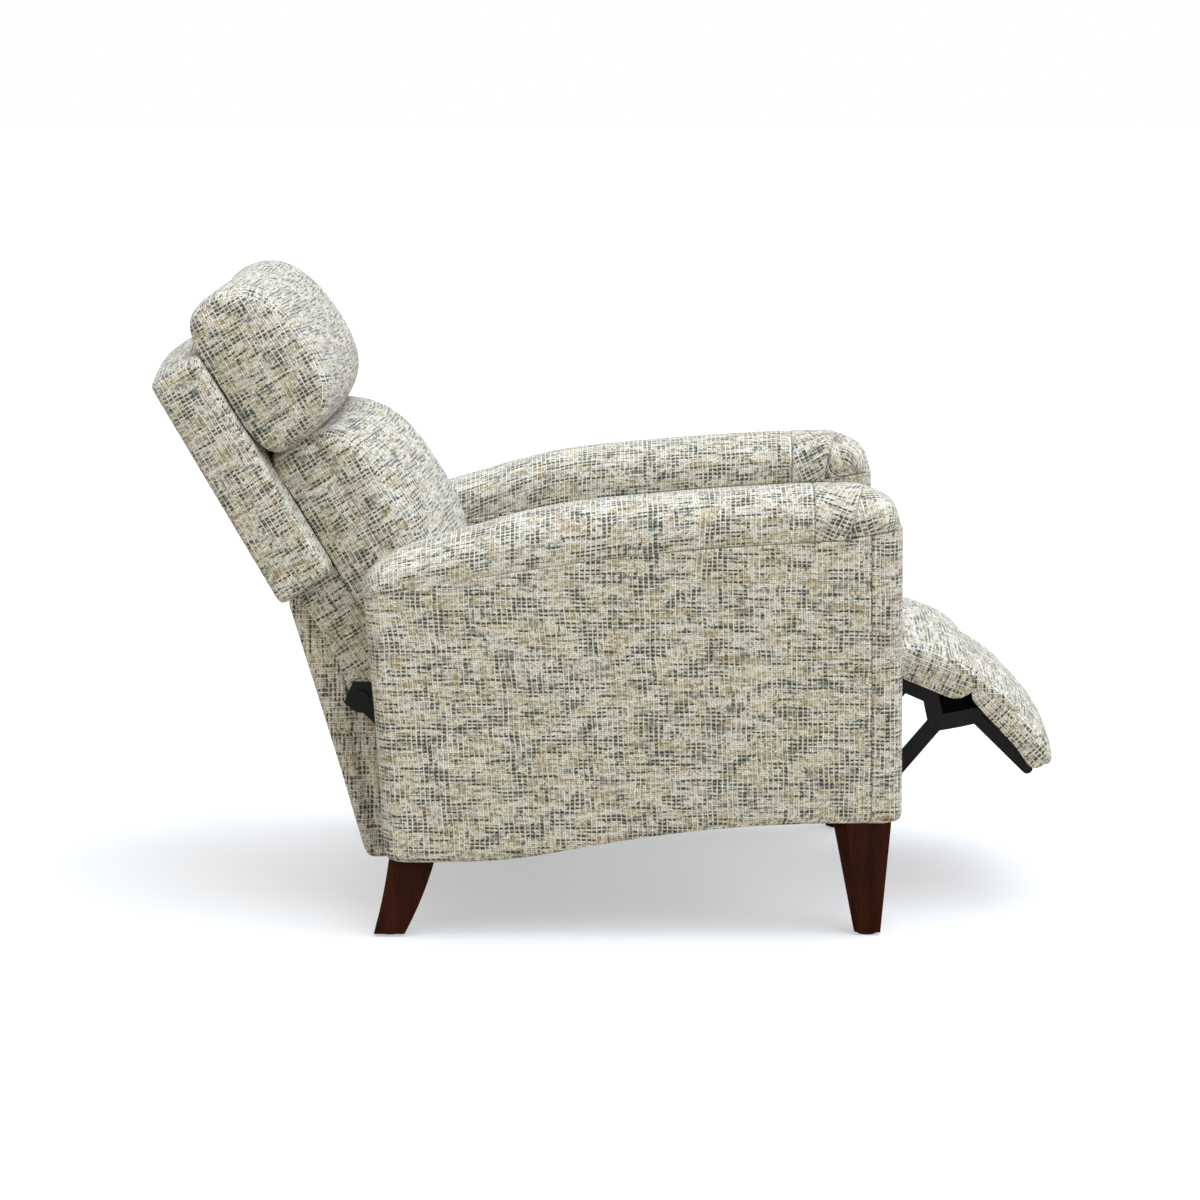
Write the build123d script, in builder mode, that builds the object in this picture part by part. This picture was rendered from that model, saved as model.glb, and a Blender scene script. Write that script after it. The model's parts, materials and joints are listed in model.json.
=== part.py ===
"""Push-back reclining armchair, as an assembly of separate pieces.

Millimetres. +X is the front of the chair, +Y the sitter's left, +Z up, floor at Z = 0.
The chair is drawn partly reclined, with the leg rest half out.
"""

import math
import os

from build123d import *

os.makedirs("parts", exist_ok=True)

# Widths, measured from the chair's middle plane
gap_half = 243.5
arm_w = 136.5
slab_half = 310.0
headrest_inset = 28.0
cushion_play = 5.5
pad_play = 11.5
board_inset = 13.0
frame_inset = 20.5
tail_play = 1.5
headrest_half = slab_half - headrest_inset
lumbar_half = gap_half - cushion_play
seat_half = gap_half - cushion_play
pad_half = gap_half - pad_play
board_half = pad_half - board_inset

# Mechanism plates, listed from the arm inwards
plate_t = 4.0
play = 1.0
pin_r = 5.0
bolt_r = 6.0
pin_fit = 0.05
link_r = 11.5
head_t = 2.5
head_r = 8.5
flange_t = 3.0

# Soft pieces and boards
soft_gap = 0.4
wall = 24.5
frame_gap = 0.4

# Seat travel: equal upright links keep the seat level
swing_len = 70.0
swing_lean = 8.0
swing_front = (200.0, 190.0)
swing_rear = (-180.0, 190.0)

# Back pivot and the link that ties the back to the base
recline = (-338.0, 314.0)
back_lean = 30.5
back_lever = (40.0, -40.0)
back_link_base = (-268.0, 132.0)
back_link_slack = 1.5

# Leg rest linkage, a parallelogram hung from the seat plate
rest_pivot = (339.8, 226.3)
short_link = 75.0
long_link = 140.0
link_slope = 50.0
lever_len = 24.07
lever_turn = 215.3
rod_base = (250.0, 180.0)
rod_slack = 2.0

# Leg rest pads
mid_slope = 22.0
mid_half = 74.0
mid_rise = 15.5
mid_ahead = 26.3
mid_thick = 70.0
mid_board_t = 12.0
foot_slope = 47.0
foot_half = 70.0
foot_rise = 59.3
foot_ahead = 78.6
foot_thick = 50.0
foot_board_t = 10.0

# Back thicknesses, measured square to the back's plane from the pivot
slab_rear = -13.0
slab_front = 66.0
sleeve_rear = 4.0
rail_rear = 14.5
rail_t = 37.0
slab_low = 180.0
slab_side_top = 533.0
slab_mid_top = 562.0
sleeve_low = 10.0

# Seat
seat_rest = 0.3
seat_top = 474.0
seat_front = 358.0
seat_rear = -130.0
frame_top = 383.0
frame_deep = 38.0
frame_front = 303.0
frame_rear = -200.0
wire_r = 1.75
seat_bottom = frame_top + 2 * wire_r + seat_rest

# Legs
rear_leg_top = 110.0
front_leg_top = 165.0
glide_t = 4.0
glide_r = 13.0
leg_bolt_r = 4.0

SIDES = {"right": -1, "left": 1}

# Drawing planes, set so that the middle of the whole chair is at X = 0
middle_x = 7.1
SIDE_ON = Plane(origin=(-middle_x, 0, 0), x_dir=(1, 0, 0), z_dir=(0, -1, 0))
FLOOR = Plane(origin=(-middle_x, 0, 0), x_dir=(1, 0, 0), z_dir=(0, 0, 1))


def polar(deg):
    return (math.cos(math.radians(deg)), math.sin(math.radians(deg)))


def along(p, deg, length):
    d = polar(deg)
    return (p[0] + d[0] * length, p[1] + d[1] * length)


def band(side, inner, outer):
    """Plane to draw on so that extrude(outer - inner) fills that band on one side."""
    if side == "right":
        return SIDE_ON.offset(inner)
    return SIDE_ON.offset(-outer)


def strip(side, inner, outer):
    return SIDE_ON.offset(inner if side == "right" else -inner)


def bar(a, b, r):
    """Round-ended bar between two points, in the sketch that is open."""
    length = math.dist(a, b)
    turn = math.degrees(math.atan2(b[1] - a[1], b[0] - a[0]))
    with Locations(((a[0] + b[0]) / 2, (a[1] + b[1]) / 2)):
        SlotCenterToCenter(length, 2 * r, rotation=turn)


def hole(p, r):
    with Locations(p):
        Circle(r, mode=Mode.SUBTRACT)


def disc(p, r):
    with Locations(p):
        Circle(r)


def loop(points):
    """Closed outline through corner, middle, corner, ...; a middle of None is a straight edge."""
    count = len(points)
    for i in range(0, count, 2):
        start = points[i]
        via = points[i + 1]
        end = points[(i + 2) % count]
        if via is None:
            Line(start, end)
        else:
            ThreePointArc(start, via, end)


def uv(u, v):
    """Back-plane place (up the back, forward of it) to X, Z."""
    s, c = math.sin(math.radians(back_lean)), math.cos(math.radians(back_lean))
    return (recline[0] - s * u + c * v, recline[1] + c * u + s * v)


def frame_at(origin, slope):
    """X, Z from a pad's own axes: along it, and square to it."""
    d = polar(-slope)
    n = polar(90 - slope)

    def place(s, t):
        return (origin[0] + d[0] * s + n[0] * t, origin[1] + d[1] * s + n[1] * t)

    return place


def save(part, name):
    part.label = name
    export_step(part, "parts/" + name + ".step")


# Plate bands from the arm inwards
base_out = gap_half
base_in = base_out - plate_t
swing_out = base_in - play
swing_in = swing_out - plate_t
seat_out = swing_in - play
seat_in = seat_out - plate_t
link_a_out = seat_in - play
link_a_in = link_a_out - plate_t
link_b_out = link_a_in - play
link_b_in = link_b_out - plate_t
link_c_out = link_b_in - play
link_c_in = link_c_out - plate_t
arm_out = gap_half + arm_w
sleeve_half = link_a_in
tail_half = link_a_in - tail_play
frame_half = seat_in - frame_inset

# Pivot places
swing_front_top = along(swing_front, 90 - swing_lean, swing_len)
swing_rear_top = along(swing_rear, 90 - swing_lean, swing_len)
back_pin = (recline[0] + back_lever[0], recline[1] + back_lever[1])
knee = along(rest_pivot, -link_slope, short_link)
shoulder = along(rest_pivot, link_slope, long_link)
ankle = along(knee, link_slope, long_link)
lever_pin = along(rest_pivot, link_slope + lever_turn, lever_len)

mid_place0 = frame_at(shoulder, mid_slope)
mid_at = frame_at(mid_place0(mid_ahead, mid_rise), mid_slope)
foot_place0 = frame_at(ankle, foot_slope)
foot_at = frame_at(foot_place0(foot_ahead, foot_rise), foot_slope)

# Arm outlines: the upholstered side, the hollow inside it and the padded top
seam_rear = (-326.0, 479.0)
seam_mid = (0.0, 534.0)
seam_front = (413.0, 557.0)
arm_side = [
    (-300.0, rear_leg_top), None,
    (-215.0, rear_leg_top), (-130.0, rear_leg_top + 5.5),
    (-30.0, 132.0), (110.0, 152.0),
    (300.0, front_leg_top), None,
    (417.0, front_leg_top), None,
    seam_front, seam_mid,
    seam_rear, None,
    (-312.0, 310.0), None,
]
arm_hollow = [(-278.0, 60.0), (-303.0, 452.0), (0.0, 508.0), (393.0, 532.0), (394.0, 60.0)]
arm_rails = [
    (-277.5, rear_leg_top), (-215.0, rear_leg_top), (-120.0, 119.0), (-30.0, 134.0), (110.0, 154.0), (200.0, 162.0),
    (290.0, front_leg_top + 1), (320.0, front_leg_top), (393.5, front_leg_top), (392.5, 531.5), (0.0, 507.5),
    (-302.5, 451.5),
]
arm_window_rear = [(-238.0, 152.0), (0.0, 178.0), (0.0, 466.0), (-258.0, 418.0)]
arm_window_front = [(44.0, 183.0), (300.0, 208.0), (350.0, 208.0), (350.0, 489.0), (44.0, 470.0)]
seam_lift = soft_gap
pad_foot = [
    (seam_front[0] + 1, seam_front[1] + seam_lift), (seam_mid[0], seam_mid[1] + seam_lift),
]
pad_crest = pad_foot + [
    (-332.0, seam_rear[1] + seam_lift), (-314.0, 515.0),
    (-277.0, 541.0), (-69.0, 601.0),
    (249.0, 629.0), (345.0, 632.0),
    (391.0, 618.0), (412.0, 590.0),
]
pad_edge = pad_foot + [
    (-330.0, seam_rear[1] + seam_lift), (-306.0, 501.0),
    (-268.0, 519.0), (-69.0, 574.0),
    (249.0, 601.0), (340.0, 604.0),
    (384.0, 594.0), (406.0, 578.0),
]

# Arms: shell of foam and cover, timber frame inside, padded top
for side in SIDES:
    with BuildPart() as arm_cover:
        with BuildSketch(band(side, gap_half, arm_out)):
            with BuildLine():
                loop(arm_side)
            make_face()
        extrude(amount=arm_w)
        with BuildSketch(band(side, gap_half + wall, arm_out - wall)):
            with BuildLine():
                Polyline(*arm_hollow, close=True)
            make_face()
        extrude(amount=arm_w - 2 * wall, mode=Mode.SUBTRACT)
    save(arm_cover.part, side + "_arm_cover")

    rail_w = arm_w - 2 * wall - 2 * frame_gap
    with BuildPart() as arm_frame:
        with BuildSketch(band(side, gap_half + wall + frame_gap, arm_out - wall - frame_gap)):
            with BuildLine():
                Polyline(*arm_rails, close=True)
            make_face()
            for window in (arm_window_rear, arm_window_front):
                with BuildLine():
                    Polyline(*window, close=True)
                make_face(mode=Mode.SUBTRACT)
        extrude(amount=rail_w)
        for x, top in ((-258.0, rear_leg_top), (372.0, front_leg_top)):
            with BuildSketch(FLOOR.offset(top)):
                with Locations((x, SIDES[side] * (gap_half + arm_w / 2 + 27.0))):
                    Circle(leg_bolt_r)
            extrude(amount=41.0, mode=Mode.SUBTRACT)
    save(arm_frame.part, side + "_arm_frame")

    with BuildPart() as arm_pad:
        for y, outline in ((gap_half, pad_edge), (gap_half + arm_w / 2, pad_crest), (arm_out, pad_edge)):
            with BuildSketch(strip(side, y, y)):
                with BuildLine():
                    loop(outline)
                make_face()
        loft()
    save(arm_pad.part, side + "_arm_pad")

# Legs: sabre legs behind, tapered and chamfered legs in front
leg_y = gap_half + arm_w / 2 + 27.0
leg_gauge = 52.0
rear_leg = [
    (-294.0, rear_leg_top), None,
    (-230.0, rear_leg_top), (-249.0, 55.0),
    (-273.0, glide_t), None,
    (-316.0, glide_t), (-303.0, 58.0),
]
rear_bolt_x = -258.0
front_bolt_x = 372.0
bolt_sink = 40.0
for side in SIDES:
    with BuildPart() as rear_leg_part:
        with BuildSketch(band(side, leg_y - leg_gauge / 2, leg_y + leg_gauge / 2)):
            with BuildLine():
                loop(rear_leg)
            make_face()
        extrude(amount=leg_gauge)
        with BuildSketch(FLOOR.offset(rear_leg_top - bolt_sink)):
            with Locations((rear_bolt_x, SIDES[side] * leg_y)):
                Circle(leg_bolt_r)
        extrude(amount=bolt_sink + 1, mode=Mode.SUBTRACT)
    save(rear_leg_part.part, "rear_" + side + "_leg")

    with BuildPart() as front_leg_part:
        for z, rear_x, front_x, half, cut in (
            (front_leg_top, 325.0, 404.0, 36.0, 17.0),
            (glide_t, 356.0, 392.0, 17.5, 5.0),
        ):
            out = SIDES[side] * (leg_y + half)
            inn = SIDES[side] * (leg_y - half)
            near = SIDES[side] * (leg_y + half - cut)
            with BuildSketch(FLOOR.offset(z)):
                with BuildLine():
                    Polyline(
                        (rear_x, inn), (front_x, inn), (front_x, out), (rear_x + cut, out), (rear_x, near), close=True
                    )
                make_face()
        loft()
        with BuildSketch(FLOOR.offset(front_leg_top - bolt_sink)):
            with Locations((front_bolt_x, SIDES[side] * leg_y)):
                Circle(leg_bolt_r)
        extrude(amount=bolt_sink + 1, mode=Mode.SUBTRACT)
    save(front_leg_part.part, "front_" + side + "_leg")

with BuildPart() as leg_bolts:
    for x, top in ((rear_bolt_x, rear_leg_top), (front_bolt_x, front_leg_top)):
        with BuildSketch(FLOOR.offset(top - bolt_sink)):
            with Locations((x, leg_y), (x, -leg_y)):
                Circle(leg_bolt_r)
        extrude(amount=2 * bolt_sink)
save(leg_bolts.part, "leg_bolts")

with BuildPart() as leg_glides:
    with BuildSketch(FLOOR):
        with Locations((-294.5, leg_y), (-294.5, -leg_y), (374.0, leg_y), (374.0, -leg_y)):
            Circle(glide_r)
    extrude(amount=glide_t)
save(leg_glides.part, "leg_glides")

# Cross rails between the two base plates
rail_half = base_in
for name, x in (("front_rail", 112.0), ("rear_rail", -102.0)):
    with BuildPart() as cross_rail:
        with BuildSketch(SIDE_ON.offset(-rail_half)):
            with Locations((x, 191.0)):
                RectangleRounded(36.0, 44.0, 3.0)
        extrude(amount=2 * rail_half)
    save(cross_rail.part, name)

# Base plates, screwed to the arms
base_outline = [
    (-288.0, 118.0), (-252.0, 112.0), (-205.0, 165.0), (268.0, 165.0), (268.0, 217.0), (-200.0, 217.0), (-288.0, 152.0),
]
base_pivots = (swing_front, swing_rear, back_link_base, rod_base)
for side in SIDES:
    with BuildPart() as base_plate:
        with BuildSketch(band(side, base_in, base_out)):
            with BuildLine():
                Polyline(*base_outline, close=True)
            make_face()
            for p in base_pivots:
                hole(p, pin_r)
        extrude(amount=plate_t)
    save(base_plate.part, side + "_base_plate")

with BuildPart() as base_pins:
    for side in SIDES:
        with BuildSketch(band(side, swing_in, base_out)):
            for p in base_pivots:
                disc(p, pin_r)
        extrude(amount=base_out - swing_in)
        with BuildSketch(band(side, swing_in - play / 2 - head_t, swing_in - play / 2)):
            for p in base_pivots:
                disc(p, head_r)
        extrude(amount=head_t)
        with BuildSketch(band(side, swing_in - play / 2, swing_in)):
            for p in base_pivots:
                disc(p, pin_r)
        extrude(amount=play / 2)
save(base_pins.part, "base_pivot_pins")

# Swing links that carry the seat
for name, low, high in (
    ("front_swing_link", swing_front, swing_front_top),
    ("rear_swing_link", swing_rear, swing_rear_top),
):
    for side in SIDES:
        with BuildPart() as swing_link:
            with BuildSketch(band(side, swing_in, swing_out)):
                bar(low, high, link_r + 1.5)
                hole(low, pin_r + pin_fit)
                hole(high, pin_r + pin_fit)
            extrude(amount=plate_t)
        save(swing_link.part, side + "_" + name)

# Seat: timber frame, wire springs, cushion, side plates and a cross tube
rail_w = 36.0
with BuildPart() as seat_frame:
    with BuildSketch(FLOOR.offset(frame_top - frame_deep)):
        with Locations(((frame_front + frame_rear) / 2, 0)):
            Rectangle(frame_front - frame_rear, 2 * frame_half)
            Rectangle(frame_front - frame_rear - 2 * rail_w, 2 * frame_half - 2 * rail_w, mode=Mode.SUBTRACT)
    extrude(amount=frame_deep)
save(seat_frame.part, "seat_frame")

bend_r = 14.0
wave_half = 20.0
wave_count = 14
wire_z = frame_top + wire_r
with BuildPart() as seat_springs:
    for lane in (-135.0, -45.0, 45.0, 135.0):
        span = 2 * bend_r * wave_count
        first = (frame_front + frame_rear) / 2 - span / 2
        q = bend_r * math.sqrt(0.5)
        with BuildLine(FLOOR.offset(wire_z)) as wave:
            Line((frame_rear + 10.0, lane - wave_half - bend_r), (first - bend_r, lane - wave_half - bend_r))
            x = first
            flip = 1
            ThreePointArc(
                (x - bend_r, lane - wave_half - bend_r),
                (x - bend_r + q, lane - wave_half - q),
                (x, lane - wave_half),
            )
            for i in range(wave_count):
                Line((x, lane - flip * wave_half), (x, lane + flip * wave_half))
                turn = lane + flip * wave_half
                ThreePointArc((x, turn), (x + bend_r - q, turn + flip * q), (x + bend_r, turn + flip * bend_r))
                if i < wave_count - 1:
                    ThreePointArc(
                        (x + bend_r, turn + flip * bend_r), (x + bend_r + q, turn + flip * q), (x + 2 * bend_r, turn)
                    )
                    x = x + 2 * bend_r
                    flip = -flip
            Line((x + bend_r, turn + flip * bend_r), (frame_front - 10.0, turn + flip * bend_r))
        with BuildSketch(Plane(wave.wires()[0] @ 0, z_dir=wave.wires()[0] % 0)):
            Circle(wire_r)
        sweep(path=wave.wires()[0])
save(seat_springs.part, "seat_springs")

seat_mid = [
    (seat_rear + 6, seat_bottom), None,
    (seat_front - 26, seat_bottom), (seat_front - 12, 414.0),
    (seat_front - 4, 440.0), (seat_front - 8, seat_top - 12),
    (seat_front - 40, seat_top), (110.0, seat_top + 2),
    (seat_rear + 30, seat_top - 14), (seat_rear + 6, seat_top - 26),
    (seat_rear, seat_top - 50), (seat_rear + 1, 402.0),
]
seat_side = [
    (seat_rear + 10, seat_bottom), None,
    (seat_front - 30, seat_bottom), (seat_front - 16, 410.0),
    (seat_front - 10, 432.0), (seat_front - 14, seat_top - 30),
    (seat_front - 44, seat_top - 20), (110.0, seat_top - 18),
    (seat_rear + 34, seat_top - 32), (seat_rear + 12, seat_top - 42),
    (seat_rear + 5, seat_top - 60), (seat_rear + 6, 402.0),
]
with BuildPart() as seat_cushion:
    for y, outline in ((-seat_half, seat_side), (0.0, seat_mid), (seat_half, seat_side)):
        with BuildSketch(SIDE_ON.offset(y)):
            with BuildLine():
                loop(outline)
            make_face()
    loft()
save(seat_cushion.part, "seat_cushion")

seat_flange_z = frame_top - frame_deep
seat_body = [
    (-190.0, seat_flange_z), (250.0, seat_flange_z), (244.0, 268.0), (226.0, 243.0), (-184.0, 243.0), (-196.0, 266.0),
]
seat_tail = [(-185.0, 304.0), (-310.0, 336.0), (-350.0, 338.0), (-363.0, 308.0), (-346.0, 294.0), (-185.0, 276.0)]
tube_at = (0.0, 282.0)
tube_r = 11.0
for side in SIDES:
    with BuildPart() as seat_plate:
        with BuildSketch(band(side, seat_in, seat_out)):
            for outline in (seat_body, seat_tail):
                with BuildLine():
                    Polyline(*outline, close=True)
                make_face()
            bar((215.0, 280.0), rest_pivot, 15.0)
            hole(swing_front_top, pin_r)
            hole(swing_rear_top, pin_r)
            hole(rest_pivot, pin_r)
            hole(recline, bolt_r)
        extrude(amount=plate_t)
        with BuildSketch(FLOOR.offset(seat_flange_z - plate_t)):
            with Locations((30.0, SIDES[side] * (seat_out + frame_half - rail_w) / 2)):
                Rectangle(436.0, seat_out - frame_half + rail_w)
        extrude(amount=plate_t)
    save(seat_plate.part, side + "_seat_plate")

with BuildPart() as seat_tube:
    with BuildSketch(SIDE_ON.offset(-seat_in)):
        with Locations(tube_at):
            Circle(tube_r)
            Circle(tube_r - 1.5, mode=Mode.SUBTRACT)
    extrude(amount=2 * seat_in)
save(seat_tube.part, "seat_cross_tube")

swing_tops = (swing_front_top, swing_rear_top)
with BuildPart() as seat_pins:
    for side in SIDES:
        with BuildSketch(band(side, seat_in, swing_out + play / 2)):
            for p in swing_tops:
                disc(p, pin_r)
        extrude(amount=swing_out + play / 2 - seat_in)
        with BuildSketch(band(side, swing_out + play / 2, swing_out + play / 2 + head_t)):
            for p in swing_tops:
                disc(p, head_r)
        extrude(amount=head_t)
        with BuildSketch(band(side, link_b_in, seat_out)):
            disc(rest_pivot, pin_r)
        extrude(amount=seat_out - link_b_in)
save(seat_pins.part, "seat_pivot_pins")

with BuildPart() as recline_bolts:
    for side in SIDES:
        with BuildSketch(band(side, link_a_in, seat_out)):
            disc(recline, bolt_r)
        extrude(amount=seat_out - link_a_in)
        with BuildSketch(band(side, seat_out, seat_out + 5.0)):
            disc(recline, 11.0)
        extrude(amount=5.0)
save(recline_bolts.part, "recline_bolts")

# Back: T-shaped frame, covered slab and sleeve, tail panel, cushions, brackets
c_lean = math.cos(math.radians(back_lean))
s_lean = math.sin(math.radians(back_lean))


def back_plane(v):
    x, z = uv(0, v)
    return Plane(origin=(x - middle_x, 0, z), x_dir=(0, 1, 0), z_dir=(c_lean, 0, s_lean))


frame_side = slab_half - wall - frame_gap
stem_side = sleeve_half - wall - frame_gap
rail_h = 44.0
with BuildPart() as back_frame:
    with BuildSketch(back_plane(rail_rear)):
        with Locations((0, (slab_low + 2 + slab_side_top - wall) / 2)):
            Rectangle(2 * frame_side, slab_side_top - wall - slab_low - 2)
        with Locations((0, (slab_low + 2 + sleeve_low) / 2)):
            Rectangle(2 * stem_side, slab_low + 2 - sleeve_low)
        top_low = slab_low + 2 + rail_h
        top_high = slab_side_top - wall - rail_h
        with Locations((0, (top_low + top_high) / 2)):
            Rectangle(2 * frame_side - 2 * rail_h, top_high - top_low, mode=Mode.SUBTRACT)
        stem_low = sleeve_low + rail_h
        stem_high = slab_low + 2
        with Locations((0, (stem_low + stem_high) / 2)):
            Rectangle(2 * stem_side - 2 * rail_h, stem_high - stem_low, mode=Mode.SUBTRACT)
    extrude(amount=rail_t - 2 * frame_gap)
save(back_frame.part, "back_frame")

with BuildPart() as slab:
    with BuildSketch(back_plane(slab_rear)):
        with BuildLine():
            Polyline((-slab_half, slab_side_top), (-slab_half, slab_low), (slab_half, slab_low), (slab_half, slab_side_top))
            ThreePointArc((slab_half, slab_side_top), (0, slab_mid_top), (-slab_half, slab_side_top))
        make_face()
    extrude(amount=slab_front - slab_rear)
    with BuildSketch(back_plane(rail_rear - frame_gap)):
        with BuildLine():
            Polyline(
                (-slab_half + wall, slab_low - 5), (slab_half - wall, slab_low - 5),
                (slab_half - wall, slab_side_top - wall + frame_gap), (-slab_half + wall, slab_side_top - wall + frame_gap),
                close=True,
            )
        make_face()
    extrude(amount=rail_t, mode=Mode.SUBTRACT)
save(slab.part, "upper_back_cover")

with BuildPart() as sleeve:
    with BuildSketch(back_plane(sleeve_rear)):
        with Locations((0, (slab_low - 2 + sleeve_low) / 2)):
            Rectangle(2 * sleeve_half, slab_low - 2 - sleeve_low)
    extrude(amount=slab_front - sleeve_rear)
    with BuildSketch(back_plane(rail_rear - frame_gap)):
        with Locations((0, 90.0)):
            Rectangle(2 * (sleeve_half - wall), 400.0)
    extrude(amount=rail_t, mode=Mode.SUBTRACT)
save(sleeve.part, "lower_back_cover")

with BuildPart() as tail:
    with BuildSketch(SIDE_ON.offset(-tail_half)):
        with BuildLine():
            Polyline(
                uv(slab_low - 4, sleeve_rear), uv(slab_low - 7, -22.0), (-325.0, 84.0), (-312.0, 82.0),
                (-330.0, 196.0), (-347.0, 316.0), uv(sleeve_low, sleeve_rear), close=True,
            )
        make_face()
    extrude(amount=2 * tail_half)
save(tail.part, "tail_panel")

rear_v = slab_front + soft_gap
head_mid = [
    uv(368, rear_v), None,
    uv(580, rear_v), uv(605, 132),
    uv(582, 192), uv(530, 216),
    uv(452, 222), uv(400, 213),
    uv(368, 182), uv(360, 125),
]
head_end = [
    uv(378, rear_v), None,
    uv(562, rear_v), uv(582, 112),
    uv(564, 164), uv(516, 184),
    uv(452, 190), uv(406, 182),
    uv(378, 156), uv(370, 112),
]
with BuildPart() as headrest:
    for y, outline in ((-headrest_half, head_end), (0.0, head_mid), (headrest_half, head_end)):
        with BuildSketch(SIDE_ON.offset(y)):
            with BuildLine():
                loop(outline)
            make_face()
    loft()
save(headrest.part, "headrest_cushion")

lumbar_mid = [
    uv(42, rear_v), None,
    uv(340, rear_v), uv(354, 130),
    uv(340, 204), uv(276, 240),
    uv(195, 243), uv(110, 240),
    uv(56, 212), uv(40, 140),
]
lumbar_end = [
    uv(48, rear_v), None,
    uv(334, rear_v), uv(348, 108),
    uv(332, 156), uv(272, 178),
    uv(195, 180), uv(112, 178),
    uv(62, 158), uv(46, 112),
]
with BuildPart() as lumbar:
    for y, outline in ((-lumbar_half, lumbar_end), (0.0, lumbar_mid), (lumbar_half, lumbar_end)):
        with BuildSketch(SIDE_ON.offset(y)):
            with BuildLine():
                loop(outline)
            make_face()
    loft()
save(lumbar.part, "lumbar_cushion")

for side in SIDES:
    with BuildPart() as back_bracket:
        with BuildSketch(band(side, link_a_in, link_a_out)):
            bar(recline, back_pin, 14.0)
            bar(recline, uv(125, 33), 17.0)
            hole(recline, bolt_r + pin_fit)
            hole(back_pin, pin_r)
        extrude(amount=plate_t)
    save(back_bracket.part, side + "_back_bracket")

with BuildPart() as back_pins:
    for side in SIDES:
        with BuildSketch(band(side, link_a_in, swing_out + play / 2)):
            disc(back_pin, pin_r)
        extrude(amount=swing_out + play / 2 - link_a_in)
        with BuildSketch(band(side, swing_out + play / 2, swing_out + play / 2 + head_t)):
            disc(back_pin, head_r)
        extrude(amount=head_t)
save(back_pins.part, "back_link_pins")

for side in SIDES:
    with BuildPart() as back_link:
        with BuildSketch(band(side, swing_in, swing_out)):
            bar(back_link_base, back_pin, link_r)
            hole(back_link_base, pin_r + pin_fit)
            hole(back_pin, pin_r + back_link_slack)
        extrude(amount=plate_t)
    save(back_link.part, side + "_back_link")

# Leg rest linkage
for side in SIDES:
    with BuildPart() as lower_rear:
        with BuildSketch(band(side, link_b_in, link_b_out)):
            bar(rest_pivot, knee, link_r)
            hole(rest_pivot, pin_r + pin_fit)
            hole(knee, pin_r)
        extrude(amount=plate_t)
    save(lower_rear.part, side + "_lower_rear_link")

    with BuildPart() as lower_front:
        with BuildSketch(band(side, link_c_in, link_c_out)):
            bar(knee, ankle, link_r)
            hole(knee, pin_r + pin_fit)
            hole(ankle, pin_r + 2 * pin_fit)
        extrude(amount=plate_t)
    save(lower_front.part, side + "_lower_front_link")

    with BuildPart() as upper_rear:
        with BuildSketch(band(side, link_a_in, link_a_out)):
            bar(rest_pivot, shoulder, link_r)
            bar(rest_pivot, lever_pin, link_r - 1.5)
            hole(rest_pivot, pin_r + pin_fit)
            hole(shoulder, pin_r)
            hole(lever_pin, pin_r - 1)
        extrude(amount=plate_t)
    save(upper_rear.part, side + "_upper_rear_link")

    with BuildPart() as drive_rod:
        with BuildSketch(band(side, swing_in, swing_out)):
            bar(rod_base, lever_pin, 9.0)
            hole(rod_base, pin_r + pin_fit)
            hole(lever_pin, pin_r - 1 + rod_slack)
        extrude(amount=plate_t)
    save(drive_rod.part, side + "_drive_rod")

with BuildPart() as knee_pins:
    for side in SIDES:
        with BuildSketch(band(side, link_c_in - play / 2, link_b_out)):
            disc(knee, pin_r)
        extrude(amount=link_b_out - link_c_in + play / 2)
        with BuildSketch(band(side, link_c_in - play / 2 - head_t, link_c_in - play / 2)):
            disc(knee, head_r)
        extrude(amount=head_t)
save(knee_pins.part, "knee_pins")

with BuildPart() as upper_pins:
    for side in SIDES:
        with BuildSketch(band(side, link_c_in - play / 2, link_a_out)):
            disc(shoulder, pin_r)
        extrude(amount=link_a_out - link_c_in + play / 2)
        with BuildSketch(band(side, link_c_in - play / 2 - head_t, link_c_in - play / 2)):
            disc(shoulder, head_r)
        extrude(amount=head_t)
        with BuildSketch(band(side, link_a_in, swing_out)):
            disc(lever_pin, pin_r - 1)
        extrude(amount=swing_out - link_a_in)
save(upper_pins.part, "upper_link_pins")

# Middle pad of the leg rest
for side in SIDES:
    with BuildPart() as mid_bracket:
        with BuildSketch(band(side, link_c_in, link_c_out)):
            disc(shoulder, link_r)
            with BuildLine():
                Polyline(
                    mid_at(-mid_ahead - 25, -flange_t - 2), mid_at(-mid_ahead - 9, -mid_rise - 6),
                    mid_at(-mid_ahead + 9, -mid_rise - 6), mid_at(-mid_ahead + 44, -flange_t - 2),
                    mid_at(-mid_ahead + 44, 0), mid_at(-mid_ahead - 25, 0), close=True,
                )
            make_face()
            hole(shoulder, pin_r + pin_fit)
        extrude(amount=plate_t)
        with BuildSketch(band(side, link_c_in - 34, link_c_out)):
            with BuildLine():
                Polyline(
                    mid_at(-mid_ahead - 25, -flange_t), mid_at(-mid_ahead + 44, -flange_t),
                    mid_at(-mid_ahead + 44, 0), mid_at(-mid_ahead - 25, 0), close=True,
                )
            make_face()
        extrude(amount=plate_t + 34)
    save(mid_bracket.part, side + "_mid_bracket")

with BuildPart() as mid_board:
    with BuildSketch(SIDE_ON.offset(-board_half)):
        with BuildLine():
            Polyline(
                mid_at(-mid_half + 16, 0), mid_at(mid_half - 34, 0),
                mid_at(mid_half - 34, mid_board_t), mid_at(-mid_half + 16, mid_board_t), close=True,
            )
        make_face()
    extrude(amount=2 * board_half)
save(mid_board.part, "mid_board")

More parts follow.
